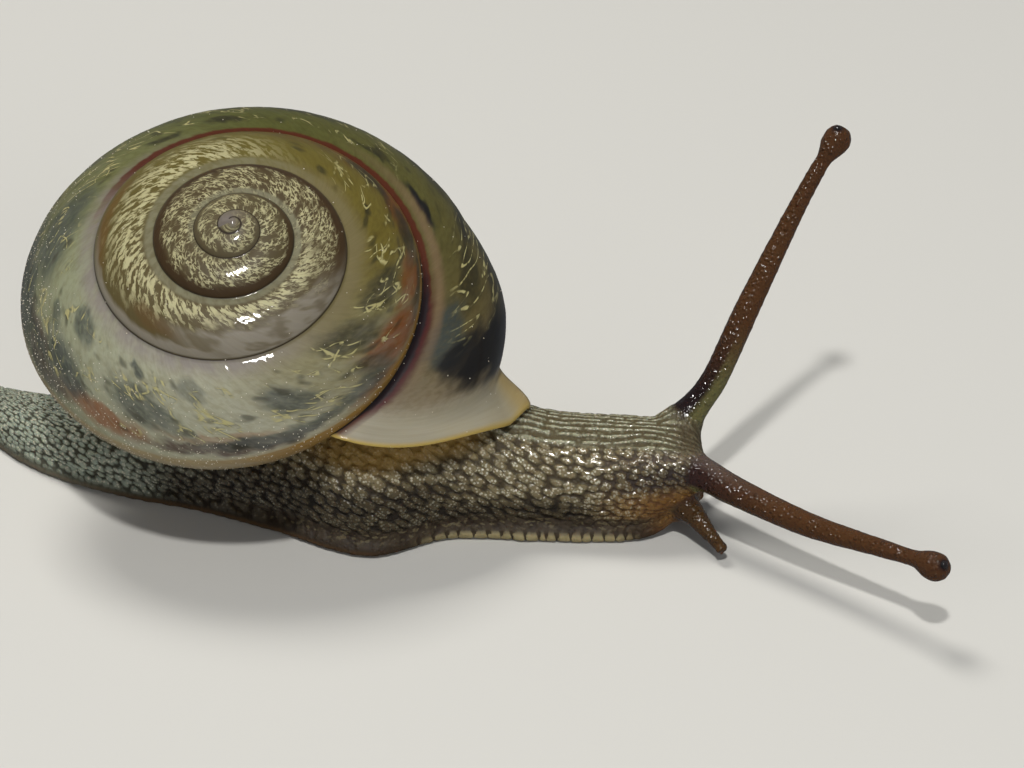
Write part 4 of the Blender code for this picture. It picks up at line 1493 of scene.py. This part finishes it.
@dataclass
class Body:
    """The soft body: foot, tail, neck, head, tentacles and mantle, in one skin."""

    stations: tuple = (
        (-20.2, 8.9, 0.35, 0.7, 0.35, 0.0), (-18.0, 7.2, 1.1, 1.3, 1.2, 0.0),
        (-14.8, 4.7, 1.9, 2.0, 2.4, 0.0), (-11.6, 2.9, 2.5, 2.7, 2.9, 0.0),
        (-7.5, 1.7, 3.0, 3.4, 3.3, 0.0), (-3.2, 0.9, 3.3, 4.3, 3.5, 0.0),
        (0.7, 0.1, 3.8, 5.6, 4.1, 0.0), (6.0, -1.0, 4.6, 7.4, 4.9, 0.0),
        (9.7, -0.1, 3.7, 6.5, 3.6, 0.0), (14.3, 0.0, 3.15, 5.25, 3.45, 0.0),
        (19.0, 0.0, 3.0, 5.2, 2.9, 0.0), (21.0, 0.0, 2.7, 5.0, 2.0, 0.45),
        (22.6, 0.0, 2.3, 4.6, 1.3, 1.0),
    )
    face_from: float = 20.0
    face_tip: float = 22.3
    face_level: float = 3.3
    sole_edge: float = 0.35
    groove_height: float = 0.85
    groove_depth: float = 0.3
    dome_level: float = 0.42
    dome_points: int = 22
    long_step: float = 0.3
    upper_radii: tuple = (
        (0.0, 0.9), (0.08, 1.25), (0.2, 0.98), (0.34, 0.8), (0.6, 0.62), (0.8, 0.47), (1.0, 0.39),
    )
    lower_radii: tuple = ((0.0, 0.55), (0.2, 0.72), (0.4, 0.54), (0.65, 0.4), (0.85, 0.34), (1.0, 0.36))
    left_path: tuple[Place, ...] = (
        (20.6, 1.05, 4.0), (21.25, 1.45, 5.1), (22.5, 2.3, 6.9), (24.4, 4.0, 11.1), (26.4, 5.7, 15.4),
        (27.95, 6.85, 18.3),
    )
    right_path: tuple[Place, ...] = (
        (20.9, -0.9, 3.4), (21.9, -1.45, 3.6), (23.9, -2.7, 3.3), (27.5, -5.2, 3.2), (31.0, -7.7, 3.7),
        (33.6, -9.6, 4.15),
    )
    lower_right_path: tuple[Place, ...] = (
        (20.9, -1.4, 1.4), (21.7, -2.0, 1.55), (22.4, -2.9, 1.25), (23.0, -3.6, 0.95), (23.5, -4.2, 0.7),
    )
    lower_left_path: tuple[Place, ...] = (
        (20.9, 1.2, 1.4), (21.6, 1.5, 1.5), (22.3, 1.9, 1.15), (22.8, 2.2, 0.7),
    )
    bulb_rings: tuple = (
        (-1.75, 0.4), (-1.3, 0.41), (-0.95, 0.49), (-0.68, 0.61), (-0.4, 0.7), (0.0, 0.73),
        (0.3, 0.66), (0.52, 0.5), (0.67, 0.26),
    )
    bulb_sides: int = 32
    bulb_sag: float = 0.12
    mantle_rings: tuple = ((7, 0.75), (8, 0.45), (10, 0.3), (14, 0.28), (20, 0.28), (30, 0.5))
    stalk_size: Place = (2.6, 2.6, 2.2)
    eye_radius: float = 0.19
    eye_left: tuple = (0.05, -0.06, 0.57)
    eye_right: tuple = (0.32, -0.38, 0.33)
    crowding: tuple = (
        (-20.0, 1.7), (-8.0, 1.45), (0.0, 1.2), (6.0, 1.0), (15.0, 1.0), (19.0, 1.35), (22.6, 1.7),
    )
    tentacles_from: float = 19.5
    voxel: float = 0.227
    buried: float = 0.6
    form_rounds: int = 4
    face_rounds: int = 26
    fine_rounds: int = 2

    def __post_init__(self) -> None:
        """Names the tentacles."""
        ahead = (1, 0, 0)
        self.tubes = {
            "left": Tube("upper_left", self.left_path, self.upper_radii, ahead, True),
            "right": Tube("upper_right", self.right_path, self.upper_radii, (0.0, 0.5, 0.87), True),
            "lower_left": Tube("lower_left", self.lower_left_path, self.lower_radii, ahead),
            "lower_right": Tube("lower_right", self.lower_right_path, self.lower_radii, ahead),
        }

    def section(self, x: float) -> Array:
        """The body's outline: a flat sole, a soft edge, a groove and a domed back.

        Args:
            x: where it is cut.

        Returns:
            The outline's points, one row each.
        """
        middle, half, height, sole, lift = through(self.stations, x)
        lift = max(lift, 0.0)
        rise = height - lift
        waist = lift + min(self.groove_height, 0.35 * rise)
        level = max(self.dome_level * height, waist + 0.08 * rise)
        groove = min(half, sole) - self.groove_depth * min(1.0, half / 3)
        edge = lift + min(self.sole_edge, 0.16 * rise)
        side = [(share * sole, lift) for share in (0.3, 0.6, 0.9)]
        side += [(0.97 * sole, (lift + edge) / 2), (sole, edge)]
        side += [((sole + groove) / 2 + 0.06, edge + 0.55 * (waist - edge)), (groove, waist)]
        for i in range(1, self.dome_points):
            angle = math.pi / 2 * (i - 0.4) / (self.dome_points - 0.4)
            side.append((half * math.cos(angle), level + (height - level) * math.sin(angle)))
        outline = [(0.0, lift), *side, (0.0, height), *[(-y, z) for y, z in side[::-1]]]
        if x > self.face_from:
            share = (x - self.face_from) / (self.face_tip - self.face_from)
            left = math.sqrt(max(1.0 - share**2, 0.02))
            outline = [(y * left, self.face_level + (z - self.face_level) * left) for y, z in outline]
        return np.array([(x, middle + y, z) for y, z in outline])

    def trunk(self) -> Mesh:
        """The tail, foot, neck and head as one loft."""
        reach = self.face_tip - self.face_from
        stops = list(np.arange(self.stations[0][0], self.face_from, self.long_step))
        stops += [self.face_from + reach * math.sin(math.radians(a)) for a in np.linspace(0, 86, 16)]
        return loft([self.section(x) for x in stops], "trunk")

    def bulb_mesh(self, tube: Tube) -> Mesh:
        """The swollen tip of an upper tentacle.

        Args:
            tube: the tentacle.

        Returns:
            The closed mesh in millimetres.
        """
        tip = np.array(tube.path[-1])
        along, side, up = directions(tip - np.array(tube.path[-2]))
        rings = []
        for here in np.linspace(self.bulb_rings[0][0], self.bulb_rings[-1][0], 30):
            middle = tip + along * here - up * self.bulb_sag * smooth(1 + here / 1.3)
            rings.append(hoop(middle, side, up, through(self.bulb_rings, here)[0], self.bulb_sides))
        return loft(rings, tube.name + "_bulb")

    def mantle(self, shell: Shell) -> list[Mesh]:
        """The mantle that fills the shell's mouth, and the stalk of flesh up to it.

        Args:
            shell: the shell.

        Returns:
            Closed meshes in millimetres that overlap.
        """
        turned = np.array(shell.matrix())
        rings = []
        for rows, inset in self.mantle_rings:
            ring = shell.ring(shell.lip_thickness + inset, rows)
            rings.append(ring @ turned[:3, :3].T + turned[:3, 3])
        middle = rings[2].mean(0)
        foot = np.array((middle[0] - 1.0, 0.6 * middle[1], 4.0))
        stalk = [
            ellipsoid(tuple(foot + (middle - foot) * share), self.stalk_size, "stalk", 3)
            for share in np.linspace(0, 1, 5)
        ]
        return [loft(rings, "mantle"), *stalk]

    def brow(self) -> list[Mesh]:
        """Fullness that joins the tentacles' roots to the head, and the lips about the mouth."""
        return [
            ellipsoid((20.9, 0.1, 4.1), (1.25, 1.7, 0.95), "brow"),
            ellipsoid((21.75, 0.0, 1.35), (0.55, 0.62, 0.5), "lips"),
            ellipsoid((21.55, 0.75, 1.75), (0.6, 0.62, 0.75), "lip_left"),
            ellipsoid((21.55, -0.75, 1.75), (0.6, 0.62, 0.75), "lip_right"),
        ]

    def form(self, shell: Shell, solid: Mesh) -> Piece:
        """Joins the lengths of flesh into one smooth form.

        Args:
            shell: the shell, whose mouth the mantle fills.
            solid: the shell's outer form in millimetres, which the trunk keeps clear of.

        Returns:
            The form, remeshed evenly, in millimetres.
        """
        trunk = link("trunk", self.trunk())
        cutter = link("shell_clearance", solid)
        cut = trunk.modifiers.new("clear of shell", "BOOLEAN")
        cut.operation, cut.solver, cut.object = "DIFFERENCE", "EXACT", cutter
        settle(trunk)
        bpy.data.objects.remove(cutter)
        lumps = [tube.mesh() for tube in self.tubes.values()]
        lumps += [self.bulb_mesh(self.tubes[side.value]) for side in Side]
        lumps += self.brow() + self.mantle(shell)
        piece = link("skin", merged([trunk.data.copy(), *lumps], "skin"))
        bpy.data.objects.remove(trunk)
        remesh = piece.modifiers.new("one skin", "REMESH")
        remesh.mode = "VOXEL"
        remesh.voxel_size = self.voxel
        return settle(piece)

    def refine(self, mesh: Mesh, chosen: Array) -> None:
        """Halves the edges of chosen faces.

        Args:
            mesh: the mesh to change.
            chosen: for each point, whether it is wanted fine.
        """
        build = bmesh.new()
        build.from_mesh(mesh)
        build.verts.ensure_lookup_table()
        faces = [f for f in build.faces if all(chosen[v.index] for v in f.verts)]
        edges = list({e for f in faces for e in f.edges})
        bmesh.ops.subdivide_edges(build, edges=edges, cuts=1, use_grid_fill=True)
        build.to_mesh(mesh)
        build.free()

    def along_tables(self) -> tuple[Array, ...]:
        """For evenly spaced x, the body's middle, half width, height and length so far."""
        xs = np.linspace(self.stations[0][0], self.stations[-1][0], 400)
        rows = np.array([through(self.stations, x) for x in xs])
        steps = np.hypot(np.diff(xs), np.diff(rows[:, 0]))
        return xs, rows[:, 0], rows[:, 1], rows[:, 2], np.concatenate([[0], np.cumsum(steps)])

    def on_tentacles(self, points: Array) -> dict[str, Array]:
        """Works out where points lie on the tentacles.

        Args:
            points: places in millimetres.

        Returns:
            For each point, how much it belongs to a tentacle, its share of reach along the nearest
            one and how far it lies to that one's front.
        """
        found = {name: np.zeros(len(points)) for name in ("tentacle", "reach", "front")}
        near = points[:, 0] > self.tentacles_from
        shares = np.linspace(0, 1, 140)
        for tube in self.tubes.values():
            line = np.array([tube.at(s) for s in shares])
            radius = np.array([through(tube.radii, s)[0] for s in shares])
            apart = np.linalg.norm(points[near, None] - line[None], axis=2)
            best = (apart / radius).argmin(1)
            close = apart[np.arange(len(best)), best] / radius[best]
            size = 2.4 if tube.bulb else 1.5
            own = smooth((size - close) / 0.5) * smooth((shares[best] - 0.09) / 0.13)
            if tube.bulb:
                own = own * smooth((points[near, 2] - 2.1) / 0.5)
            front = (points[near] - line[best]) @ np.array(tube.facing) / radius[best]
            better = own > found["tentacle"][near]
            spot = np.flatnonzero(near)[better]
            for name, values in (("tentacle", own), ("reach", shares[best]), ("front", front)):
                found[name][spot] = values[better]
        return found

    def regions(self, points: Array) -> dict[str, Array]:
        """Works out where each point lies on the animal.

        Args:
            points: places in millimetres.

        Returns:
            For each name, a value for each point: hide coordinates, its place on a tentacle, and how
            much it belongs to each kind of skin.
        """
        xs, mids, halves, heights, lengths = self.along_tables()
        x, y, z = points.T
        middle, half, height = (np.interp(x, xs, t) for t in (mids, halves, heights))
        level = self.dome_level * height
        across = y - middle
        angle = np.arctan2(across, np.maximum(z - level, -0.6 * level - 0.3) + 0.02)
        around = angle * (1.1 + 0.55 * half)
        crowding = np.interp(xs, *np.array(self.crowding).T)
        counted = np.concatenate([[0], np.cumsum(np.diff(lengths) * (crowding[1:] + crowding[:-1]) / 2)])
        hide = (np.interp(x, xs, counted), around * np.interp(x, xs, crowding), np.zeros(len(x)))
        found = {"hide": np.stack(hide, 1)} | self.on_tentacles(points)
        tentacle = found["tentacle"]
        bare = 1 - tentacle
        turned = np.abs(angle)
        sole = smooth((0.1 - z) / 0.06) * (x < 21.5)
        edge = smooth((0.72 - z) / 0.3) * smooth((z - 0.03) / 0.08)
        frill = edge * smooth((20.5 - x) / 3.0) * (0.1 + 0.9 * smooth((x - 6.5) / 4.0))
        groove = smooth((1.55 - z) / 0.35) * smooth((x + 6) / 10) * smooth((21.0 - x) / 2) * (1 - sole)
        ridge = smooth((0.62 - turned) / 0.15) * smooth((x - 8.5) / 2) * bare
        snout = smooth((x - 18.2) / 2.6) * smooth((3.5 - z) / 1.1)
        found["frill"] = frill * bare * (1 - sole)
        found["ridge"] = ridge * (1 - 0.75 * smooth((x - 20.3) / 1.0))
        flank = bare * (1 - ridge) * (1 - edge) * (1 - sole)
        found["flank"] = flank * (1 - 0.5 * groove) * (1 - 0.6 * snout)
        found["fine"] = (0.3 + 0.7 * np.maximum(tentacle, snout)) * (1 - sole) * (1 - edge)
        found["sole"], found["groove"], found["snout"] = sole, groove, snout * bare
        gaps = [np.linalg.norm(points - self.eye_middle(side), axis=1) for side in Side]
        found["socket"] = smooth((self.eye_radius + 0.2 - np.minimum(*gaps)) / 0.22)
        return found

    def out_of_sight(self, points: Array, solid: Mesh) -> Array:
        """Which points lie under the sole or well inside the shell.

        Args:
            points: places in millimetres.
            solid: the shell's outer form in millimetres.

        Returns:
            For each point, whether it is hidden.
        """
        build = bmesh.new()
        build.from_mesh(solid)
        outside = BVHTree.FromBMesh(build)
        build.free()
        hidden = points[:, 2] < 0.08
        for i in np.flatnonzero((points[:, 2] > 4.0) & (points[:, 0] < 14.0)):
            near, normal, _, distance = outside.find_nearest(Vector(points[i]))
            hidden[i] = distance > self.buried and (Vector(points[i]) - near).dot(normal) < 0
        return hidden

    def build(self, shell: Shell, solid: Mesh, finish: Material) -> Piece:
        """Makes the one skin, with its relief.

        Args:
            shell: the shell that it carries.
            solid: the shell's outer form in millimetres.
            finish: its material.

        Returns:
            The piece, still in millimetres.
        """
        covered = solid.copy()
        piece = self.form(shell, solid)
        mesh = piece.data
        points = coordinates(mesh)
        where = self.regions(points)
        soft = 0.25 + 0.5 * bump(points[:, 0], 20.8, 2.6) * smooth((points[:, 2] - 0.6) / 0.6)
        relax(mesh, soft * (1 - 0.6 * (where["reach"] > 0.35)), self.form_rounds)
        brow = 0.6 * bump(points[:, 0], 21.4, 1.9) * smooth((points[:, 2] - 2.0) / 0.8)
        relax(mesh, brow, self.face_rounds)
        self.refine(mesh, ~self.out_of_sight(coordinates(mesh), covered))
        relax(mesh, 0.5 * (coordinates(mesh)[:, 2] > 0.12), self.fine_rounds)
        for name, values in self.regions(coordinates(mesh)).items():
            mark(mesh, name, values)
        grow(piece, relief_tree())
        mesh = piece.data
        points = coordinates(mesh)
        points[:, 2] = np.maximum(points[:, 2], 0.0)
        place(mesh, points)
        mesh.materials.clear()
        mesh.materials.append(finish)
        mesh.shade_smooth()
        return piece

    def eye_middle(self, side: Side) -> Array:
        """Where an eye sits in its bulb."""
        eye = self.eye_left if side is Side.LEFT else self.eye_right
        return np.array(self.tubes[side.value].path[-1]) + np.array(eye) - (0, 0, self.bulb_sag / 2)

    def eye(self, side: Side, finish: Material) -> Piece:
        """A small dark eyeball, in millimetres."""
        mesh = ellipsoid(tuple(self.eye_middle(side)), (self.eye_radius,) * 3, "eyeball", 4)
        mesh.materials.append(finish)
        return link(f"eyeball_{side.value}", mesh)


@dataclass(frozen=True)
class SkinFinish:
    """The wet skin's colours, from the tail to the tentacles' tips."""

    hollow: Colour = (0.046, 0.031, 0.012)
    crest: Colour = (0.2, 0.165, 0.092)
    granule: Colour = (0.58, 0.55, 0.43)
    back_hollow: Colour = (0.082, 0.064, 0.028)
    back_crest: Colour = (0.32, 0.32, 0.22)
    cheek_hollow: Colour = (0.115, 0.046, 0.008)
    cheek_crest: Colour = (0.225, 0.115, 0.026)
    # painted shade: dark colours where the skin lies in shadow under the shell and low on the flanks and
    # tail, partly also the skin's own darker colour there
    shade: Colour = (0.012, 0.007, 0.003)
    painted_shade_crest: Colour = (0.05, 0.037, 0.018)
    tail_hollow: Colour = (0.06, 0.06, 0.04)
    tail_crest: Colour = (0.315, 0.36, 0.285)
    margin: Colour = (0.085, 0.042, 0.01)
    tail_margin: Colour = (0.15, 0.13, 0.085)
    bead_top: Colour = (0.13, 0.105, 0.06)
    notch: Colour = (0.04, 0.026, 0.01)
    lace: Colour = (0.3, 0.25, 0.125)
    groove: Colour = (0.024, 0.013, 0.005)
    groove_crest: Colour = (0.056, 0.038, 0.018)
    sole: Colour = (0.22, 0.18, 0.11)
    stalk: Colour = (0.078, 0.033, 0.011)
    stalk_tip: Colour = (0.072, 0.03, 0.011)
    stalk_low: Colour = (0.064, 0.033, 0.012)
    stalk_dark: Colour = (0.014, 0.007, 0.008)
    stalk_olive: Colour = (0.135, 0.125, 0.048)
    stalk_plum: Colour = (0.034, 0.015, 0.013)
    stalk_pale: Colour = (0.095, 0.068, 0.056)
    streak: Colour = (0.022, 0.012, 0.01)
    mauve: Colour = (0.115, 0.085, 0.075)
    mantle: Colour = (0.27, 0.165, 0.038)
    socket: Colour = (0.012, 0.007, 0.008)
    uneven: Colour = (0.72, 0.66, 0.6)
    scatter_mm: Place = (1.0, 0.45, 0.2)

    def material(self, groups: Groups) -> Material:
        """The whole animal's skin."""
        paint = Paint("skin", groups)
        kinds = {kind: paint.attribute(kind) for kind in KINDS}
        inputs = {"Hide": paint.attribute("hide", True), "Place": paint.place}
        inputs |= {kind.title(): value for kind, value in kinds.items()}
        crest = paint.group(groups.tubercles, inputs).outputs["Crest"]
        x, y, z = paint.parts(paint.place)
        paint.colour = paint.mix(crest, self.hollow, self.crest)
        tail = paint.ease(x, 2.0, -7.0)
        paint.coat(paint.mix(crest, self.tail_hollow, self.tail_crest), tail)
        # Painted shade: the belly under the shell and the low flanks and tail are darkened as if in shadow,
        # partly also the skin's own darker colour there
        low = paint.times(paint.ease(z, 3.0, 1.9), paint.ease(x, -8.0, -4.0), paint.ease(x, 19.5, 15.5))
        belly = paint.times(paint.ease(z, 4.6, 3.2), paint.ease(x, 12.5, 8.0), paint.ease(x, -6.0, -2.0))
        painted_shade = paint.sum("MAXIMUM", low, belly)
        paint.coat(paint.mix(crest, self.shade, self.painted_shade_crest), painted_shade, 0.93)
        cheek = paint.times(paint.ease(x, 16.0, 20.5), paint.ease(z, 4.0, 2.2))
        paint.coat(paint.mix(crest, self.cheek_hollow, self.cheek_crest), cheek)
        paint.coat(paint.mix(crest, self.back_hollow, self.back_crest), kinds["ridge"])
        grains = paint.ease(paint.cells(paint.place, "F1", 6.0, 1.0), 0.5, 0.24)
        powdery = paint.times(grains, paint.ease(crest, 0.45, 0.9), paint.graded(cheek, -0.6, 0.85))
        powdery = paint.times(powdery, paint.graded(paint.attribute("snout"), -0.85, 1.0))
        powdery = paint.times(powdery, paint.graded(painted_shade, -0.75, 1.0))
        cloudy = paint.graded(paint.patches(paint.place, 0.7, 0.35, 0.6), 0.5, 0.5)
        paint.coat(self.granule, powdery, cloudy)
        self.margins(paint, crest, x, z)
        self.head(paint, crest, (x, y, z))
        self.tentacles(paint, y, z)
        paint.coat(self.socket, paint.attribute("socket"), 0.95)
        wander = paint.patches(paint.place, 0.45, 0.35, 0.7)
        paint.coat(self.uneven, wander, 0.35, blend="MULTIPLY")
        tiny = paint.ease(paint.cells(paint.place, "F1", 4.6), 0.55, 0.05)
        stalks = paint.attribute("tentacle")
        beaded = paint.graded(kinds["ridge"], 1.2, stalks)
        pimples = paint.times(paint.ease(paint.cells(paint.place, "F1", 3.3), 0.5, 0.05), beaded)
        height = paint.graded(pimples, 1.0, paint.graded(tiny, 0.6, crest))
        groove = paint.attribute("groove")
        wet = paint.sum("SUBTRACT", 1.0, paint.sum("MAXIMUM", stalks, groove))
        film = paint.times(wet, paint.ease(crest, 0.3, 0.8))
        dull = paint.times(paint.ease(crest, 0.55, 0.15), paint.sum("SUBTRACT", 1.0, stalks))
        rough = paint.graded(paint.sum("MAXIMUM", dull, groove), 0.62, 0.13)
        return paint.close(Feel.WET, height, 0.05, rough, 0.16, self.scatter_mm, film)

    def margins(self, paint: Paint, crest: Socket, x: Socket, z: Socket) -> None:
        """The dark band above the foot's edge, the notched edge itself and the sole.

        Args:
            paint: the skin's material.
            crest: the height of its relief.
            x, z: a point's place in millimetres.
        """
        dark = paint.attribute("groove")
        paint.coat(paint.mix(crest, self.groove, self.groove_crest), dark, 0.92)
        flecks = paint.patches(paint.scaled(paint.place, (1.0, 1.0, 1.6)), 3.2, 0.56, 0.64, 1.0)
        paint.coat(self.lace, dark, flecks, paint.ease(z, 0.6, 0.9), 0.25)
        low = paint.times(paint.ease(z, 0.55, 0.3), paint.ease(x, 21.0, 19.5))
        rim = paint.mix(paint.ease(x, -6.0, -11.0), self.margin, self.tail_margin)
        paint.coat(rim, low, paint.ease(x, 9.0, 4.0), 0.85)
        beads = paint.mix(paint.ease(z, 0.66, 0.38), self.bead_top, self.lace)
        paint.coat(paint.mix(paint.ease(crest, 0.25, 0.7), self.notch, beads), paint.attribute("frill"))
        paint.coat(self.sole, paint.attribute("sole"))

    def head(self, paint: Paint, crest: Socket, place_mm: tuple[Socket, ...]) -> None:
        """The dark streak before the right tentacle and the warm mantle under the lip.

        Args:
            paint: the skin's material.
            crest: the height of its relief.
            place_mm: a point's x, y and z.
        """
        x, y, z = place_mm
        level = paint.sum("SUBTRACT", z, paint.graded(x, 0.07, 2.15))
        right = paint.times(paint.ease(x, 15.5, 20.0), paint.ease(y, -1.2, -2.0))
        above = paint.times(paint.band(level, 0.65, 1.15, 0.25), right)
        paint.coat(self.mauve, above, 0.5)
        streak = paint.times(paint.ease(paint.sum("ABSOLUTE", level), 0.85, 0.2), right)
        paint.coat(self.streak, streak, paint.graded(crest, -0.3, 0.95))
        warm = paint.times(paint.ease(x, 12.0, 10.0), paint.ease(x, 1.0, 5.0), paint.ease(z, 4.4, 5.2))
        paint.coat(self.mantle, warm, 0.85)

    def tentacles(self, paint: Paint, y: Socket, z: Socket) -> None:
        """Red-brown stalks: the left one olive before and dark behind, the right one plum and pale.

        Args:
            paint: the skin's material.
            y, z: a point's place in millimetres.
        """
        own, reach, front = (paint.attribute(name) for name in ("tentacle", "reach", "front"))
        stalk = paint.mix(paint.ease(reach, 0.7, 0.95), self.stalk, self.stalk_tip)
        ahead = paint.mix(paint.ease(reach, 0.54, 0.36), stalk, self.stalk_olive)
        behind = paint.mix(paint.ease(reach, 0.62, 0.3), stalk, self.stalk_dark)
        left = paint.mix(paint.ease(front, -0.05, 0.35), behind, ahead)
        right = paint.mix(paint.ease(front, 0.1, 0.75), self.stalk_plum, self.stalk_pale)
        right = paint.mix(paint.ease(front, -0.6, -0.95), right, self.stalk_olive)
        right = paint.mix(paint.ease(reach, 0.58, 0.22), stalk, right)
        paint.coat(paint.mix(paint.ease(y, -0.4, 0.9), right, left), own)
        paint.coat(self.stalk_low, own, paint.ease(z, 2.5, 2.0))


# ---------------- other finishes


@dataclass(frozen=True)
class CloudedFinish:
    """A plain colour with soft patches of another."""

    name: str
    feel: Feel
    plain: Colour
    clouded: Colour
    scale: float
    low: float
    high: float
    strength: float

    def material(self, groups: Groups) -> Material:
        """Makes the material."""
        paint = Paint(self.name, groups)
        paint.colour = self.plain
        patches = paint.patches(paint.place, self.scale, self.low, self.high)
        paint.coat(self.clouded, patches, self.strength)
        return paint.close(self.feel)


EYE = CloudedFinish("eye", Feel.LENS, (0.006, 0.005, 0.006), (0.035, 0.015, 0.008), 6.0, 0.45, 0.65, 0.4)
DUST = CloudedFinish("dust", Feel.DRY, (0.62, 0.58, 0.48), (0.45, 0.4, 0.3), 2.0, 0.4, 0.6, 1.0)


# ---------------- studio


def aim(piece: Piece, target: Vector, away: Vector) -> None:
    """Puts a light or a camera this far away from its target, in millimetres, and turns it there."""
    piece.location = (target + away) * MM
    piece.rotation_euler = away.to_track_quat("Z", "Y").to_euler()


@dataclass(frozen=True)
class Lamp:
    """A square soft light that faces the snail, with lengths in millimetres and its power in watts."""

    name: str
    toward: Place  # the direction from the snail to the light
    distance: float
    size: float
    power: float
    tint: Colour
    mirrored: bool = False  # whether glossy surfaces show it
    lit: bool = True  # whether it lights surfaces, and not only their gloss

    def hang(self, target: Vector) -> None:
        """Puts the light in the scene, aimed at this target in millimetres."""
        light = bpy.data.lights.new(self.name, "AREA")
        light.size, light.energy, light.color = self.size * MM, self.power, self.tint
        piece = link(self.name, light)
        aim(piece, target, Vector(self.toward).normalized() * self.distance)
        piece.visible_glossy = self.mirrored
        piece.visible_diffuse = self.lit


@dataclass
class Studio:
    """The pale floor, the soft lights and the camera."""

    lamps: tuple[Lamp, ...] = (
        Lamp("key", (-0.35, 0.45, 1.0), 420, 150, 1.05, (1.0, 0.98, 0.93)),
        Lamp("front", (0.0, -0.46, 0.88), 420, 24, 0.95, (1.0, 0.99, 0.96)),
        Lamp("glint", (0.0, -0.46, 0.88), 420, 60, 1.5, (1.0, 0.99, 0.96), True, False),
        Lamp("fill", (0.6, -1.0, 0.45), 480, 260, 0.5, (0.97, 0.98, 1.0)),
    )
    surround: Colour = (0.86, 0.9, 0.95)
    surround_strength: float = 0.13
    floor_colour: Colour = (0.62, 0.61, 0.58)
    floor_roughness: float = 0.7
    target: Place = (12.5, 0.0, 7.2)
    azimuth: float = math.radians(6.0)
    elevation: float = math.radians(30.0)
    distance: float = 150.0
    lens: float = 105.5
    sensor: float = 36.0
    floor_size: float = 900.0

    def floor(self) -> Piece:
        """A plain pale floor."""
        build = bmesh.new()
        bmesh.ops.create_grid(build, x_segments=1, y_segments=1, size=self.floor_size / 2 * MM)
        mesh = bpy.data.meshes.new("floor")
        build.to_mesh(mesh)
        build.free()
        material = bpy.data.materials.new("floor")
        material.use_nodes = True
        surface = material.node_tree.nodes["Principled BSDF"]
        surface.inputs["Base Color"].default_value = (*self.floor_colour, 1.0)
        surface.inputs["Roughness"].default_value = self.floor_roughness
        mesh.materials.append(material)
        piece = link("floor", mesh)
        piece.visible_glossy = False
        return piece

    def light(self) -> None:
        """Sets up the lights and a pale surround."""
        for lamp in self.lamps:
            lamp.hang(Vector(self.target))
        world = bpy.data.worlds.new("surround")
        world.use_nodes = True
        back = world.node_tree.nodes["Background"]
        back.inputs["Color"].default_value = (*self.surround, 1.0)
        back.inputs["Strength"].default_value = self.surround_strength
        bpy.context.scene.world = world
        bpy.context.scene.view_settings.view_transform = "Standard"

    def camera(self) -> None:
        """Sets the camera above the animal's right side."""
        level, rise = math.cos(self.elevation), math.sin(self.elevation)
        away = Vector((math.sin(self.azimuth) * level, -math.cos(self.azimuth) * level, rise))
        lens = bpy.data.cameras.new("camera")
        lens.lens, lens.sensor_width = self.lens, self.sensor
        lens.clip_start, lens.clip_end = 0.01, 10.0
        piece = link("camera", lens)
        aim(piece, Vector(self.target), away * self.distance)
        bpy.context.scene.camera = piece


# ---------------- assembly


def hand_over(piece: Piece, slot: str, *nodes: str) -> None:
    """Turns a piece into metres and gives it to the frame.

    Args:
        piece: a finished piece in millimetres.
        slot: the name of the record's material slot for its finish; not used.
        nodes: the solids that it stands for.
    """
    piece.data.transform(Matrix.Scale(MM, 4))
    piece.data.update()
    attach(piece, ROOT)
    if nodes:
        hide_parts(*nodes)
    points = coordinates(piece.data) / MM
    low, high = np.round(points.min(0), 1), np.round(points.max(0), 1)
    LOG.info("%s: %d points, %s to %s mm", piece.name, len(points), low, high)


def shell_solid() -> Mesh:
    """A plain closed copy of the shell's solid, in millimetres, to keep the flesh clear of."""
    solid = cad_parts["shell"].data.copy()
    build = bmesh.new()
    build.from_mesh(solid)
    bmesh.ops.remove_doubles(build, verts=build.verts, dist=1e-6)
    bmesh.ops.recalc_face_normals(build, faces=build.faces)
    for vert in build.verts:
        vert.co = vert.co / MM
    build.to_mesh(solid)
    build.free()
    return solid


def main() -> None:
    """Builds the sub-assemblies in order and reports each piece."""
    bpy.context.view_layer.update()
    groups = Groups()
    shell = Shell()
    shell_finish = ShellFinish()
    coil = shell.build(shell_finish.outside(groups), shell_finish.inside(groups))
    dust = shell.dust(coil, DUST.material(groups))
    body = Body()
    skin = body.build(shell, shell_solid(), SkinFinish().material(groups))
    flesh = [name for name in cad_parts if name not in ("shell", "eye_left", "eye_right")]
    eye_finish = EYE.material(groups)
    for side in Side:
        hand_over(body.eye(side, eye_finish), "eye", f"eye_{side.value}")
    hand_over(coil, "shell", "shell")
    hand_over(dust, "shell")
    hand_over(skin, "skin", *flesh)
    studio = Studio()
    studio.floor()
    studio.light()
    studio.camera()


if __name__ == "__main__":
    logging.basicConfig(level=logging.INFO, format="%(name)s: %(message)s")
    main()
